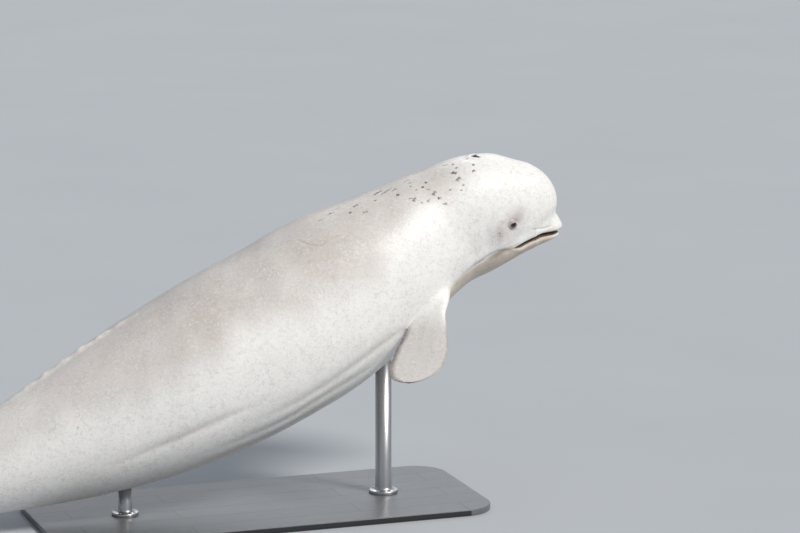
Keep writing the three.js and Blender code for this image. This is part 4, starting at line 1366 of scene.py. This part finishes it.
def make_rod(name, node, radius, material):
    """Round rod with a bolted foot, from the base up into the belly."""
    low, high = (np.array(v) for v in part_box(node))
    x, y = ((low + high) / 2)[:2]
    collar, foot = radius + FOOT_WIDTH, low[2]
    top = foot + FOOT_TOP
    profile = [
        (collar - 0.001, foot), (collar, foot + 0.001), (collar, foot + 0.013),
        (collar - 0.0015, foot + 0.0148), (collar - 0.004, top), (radius + 0.010, foot + 0.0165),
        (radius + 0.006, foot + 0.018), (radius + 0.002, foot + 0.023), (radius, foot + 0.032),
        (radius, high[2]),
    ]
    bolt = [
        (0.0072, top - 0.002), (0.0072, top + 0.0022), (0.0066, top + 0.0030), (0.0036, top + 0.0034),
        (0.0034, top + 0.0012), (0.0001, top + 0.0012),
    ]
    finish_piece(lathe(name, profile, x, y), material, "stand_rod", node)
    for k in range(4):
        turn, reach = np.pi / 4 + k * np.pi / 2, collar - BOLT_INSET
        head = lathe(f"{name}_bolt_{k}", bolt, x + reach * math.cos(turn), y + reach * math.sin(turn), 32)
        finish_piece(head, material, "stand_rod")


# Floor, light and camera

CAMERA_AZIMUTH, CAMERA_ELEVATION = -22.0, 10.0
CAMERA_DISTANCE = 17.0
METRES_PER_PIXEL = 0.00475
IMAGE_WIDTH, IMAGE_HEIGHT = 800, 533
LIP_TIP = (0, 0, -51)
LIP_PIXEL = (559.4, 220.3)
SENSOR = 36.0
SKY_COLOUR, SKY_STRENGTH = (0.84, 0.89, 0.96), 0.40
HALF_FLOOR = 70.0


def direction(azimuth, elevation):
    a, e = math.radians(azimuth), math.radians(elevation)
    return np.array([math.sin(a) * math.cos(e), -math.cos(a) * math.cos(e), math.sin(e)])


def aim(obj, location, back):
    """Puts an object at a place, with its back turned to a direction."""
    obj.location = Vector(location)
    obj.rotation_mode = "QUATERNION"
    obj.rotation_quaternion = Vector(back).to_track_quat("Z", "Y")


def make_camera():
    """Level camera, turned so that the tip of the lips falls on its pixel."""
    back = direction(CAMERA_AZIMUTH, CAMERA_ELEVATION)
    lips = in_row(np.array([LIP_TIP]))[0]
    focal = CAMERA_DISTANCE / METRES_PER_PIXEL
    x, y, z = unit(np.array([LIP_PIXEL[0] - IMAGE_WIDTH / 2, IMAGE_HEIGHT / 2 - LIP_PIXEL[1], focal]))
    raised_by = math.asin(back[2] / math.hypot(y, z)) + math.atan2(y, z)
    turned_by = math.atan2(x, z * math.cos(raised_by) + y * math.sin(raised_by))
    data = bpy.data.cameras.new("camera")
    data.sensor_width = SENSOR
    data.lens = SENSOR * CAMERA_DISTANCE / (IMAGE_WIDTH * METRES_PER_PIXEL)
    data.clip_end = 300
    camera = add_object("camera", data)
    axis = direction(CAMERA_AZIMUTH + math.degrees(turned_by), math.degrees(raised_by))
    aim(camera, lips + back * CAMERA_DISTANCE, axis)
    bpy.context.scene.camera = camera


def far_light(name, azimuth, elevation, strength, spread, colour):
    """Broad light from far away, with its spread in degrees."""
    data = bpy.data.lights.new(name, "SUN")
    data.energy = strength
    data.angle = math.radians(spread)
    data.color = colour
    location = direction(azimuth, elevation) * 12
    aim(add_object(name, data), location, location)


def make_studio():
    far_light("key", 34, 43, 2.9, 16, (1.0, 0.97, 0.925))
    far_light("rim", 160, 35, 0.5, 30, (0.92, 0.96, 1.0))
    scene = bpy.context.scene
    scene.view_settings.view_transform = "Standard"
    scene.view_settings.look = "None"
    scene.world = bpy.data.worlds.new("studio")
    scene.world.use_nodes = True
    background = scene.world.node_tree.nodes["Background"].inputs
    background["Color"].default_value = (*SKY_COLOUR, 1)
    background["Strength"].default_value = SKY_STRENGTH
    corners = np.array([(-1, -1, 0), (1, -1, 0), (1, 1, 0), (-1, 1, 0)]) * HALF_FLOOR
    floor = mesh_object("floor", corners, [(0, 1, 2, 3)])
    floor.data.materials.append(floor_material())


make_camera()
make_studio()
make_whale()
brown = eye_material()
make_eye(1, "eyeball_left", brown)
make_eye(-1, "eyeball_right", brown)
make_base(timber_material())
steel = steel_material()
make_rod("rod_front", "stand_rod_front", 0.038, steel)
make_rod("rod_rear", "stand_rod_rear", 0.032, steel)
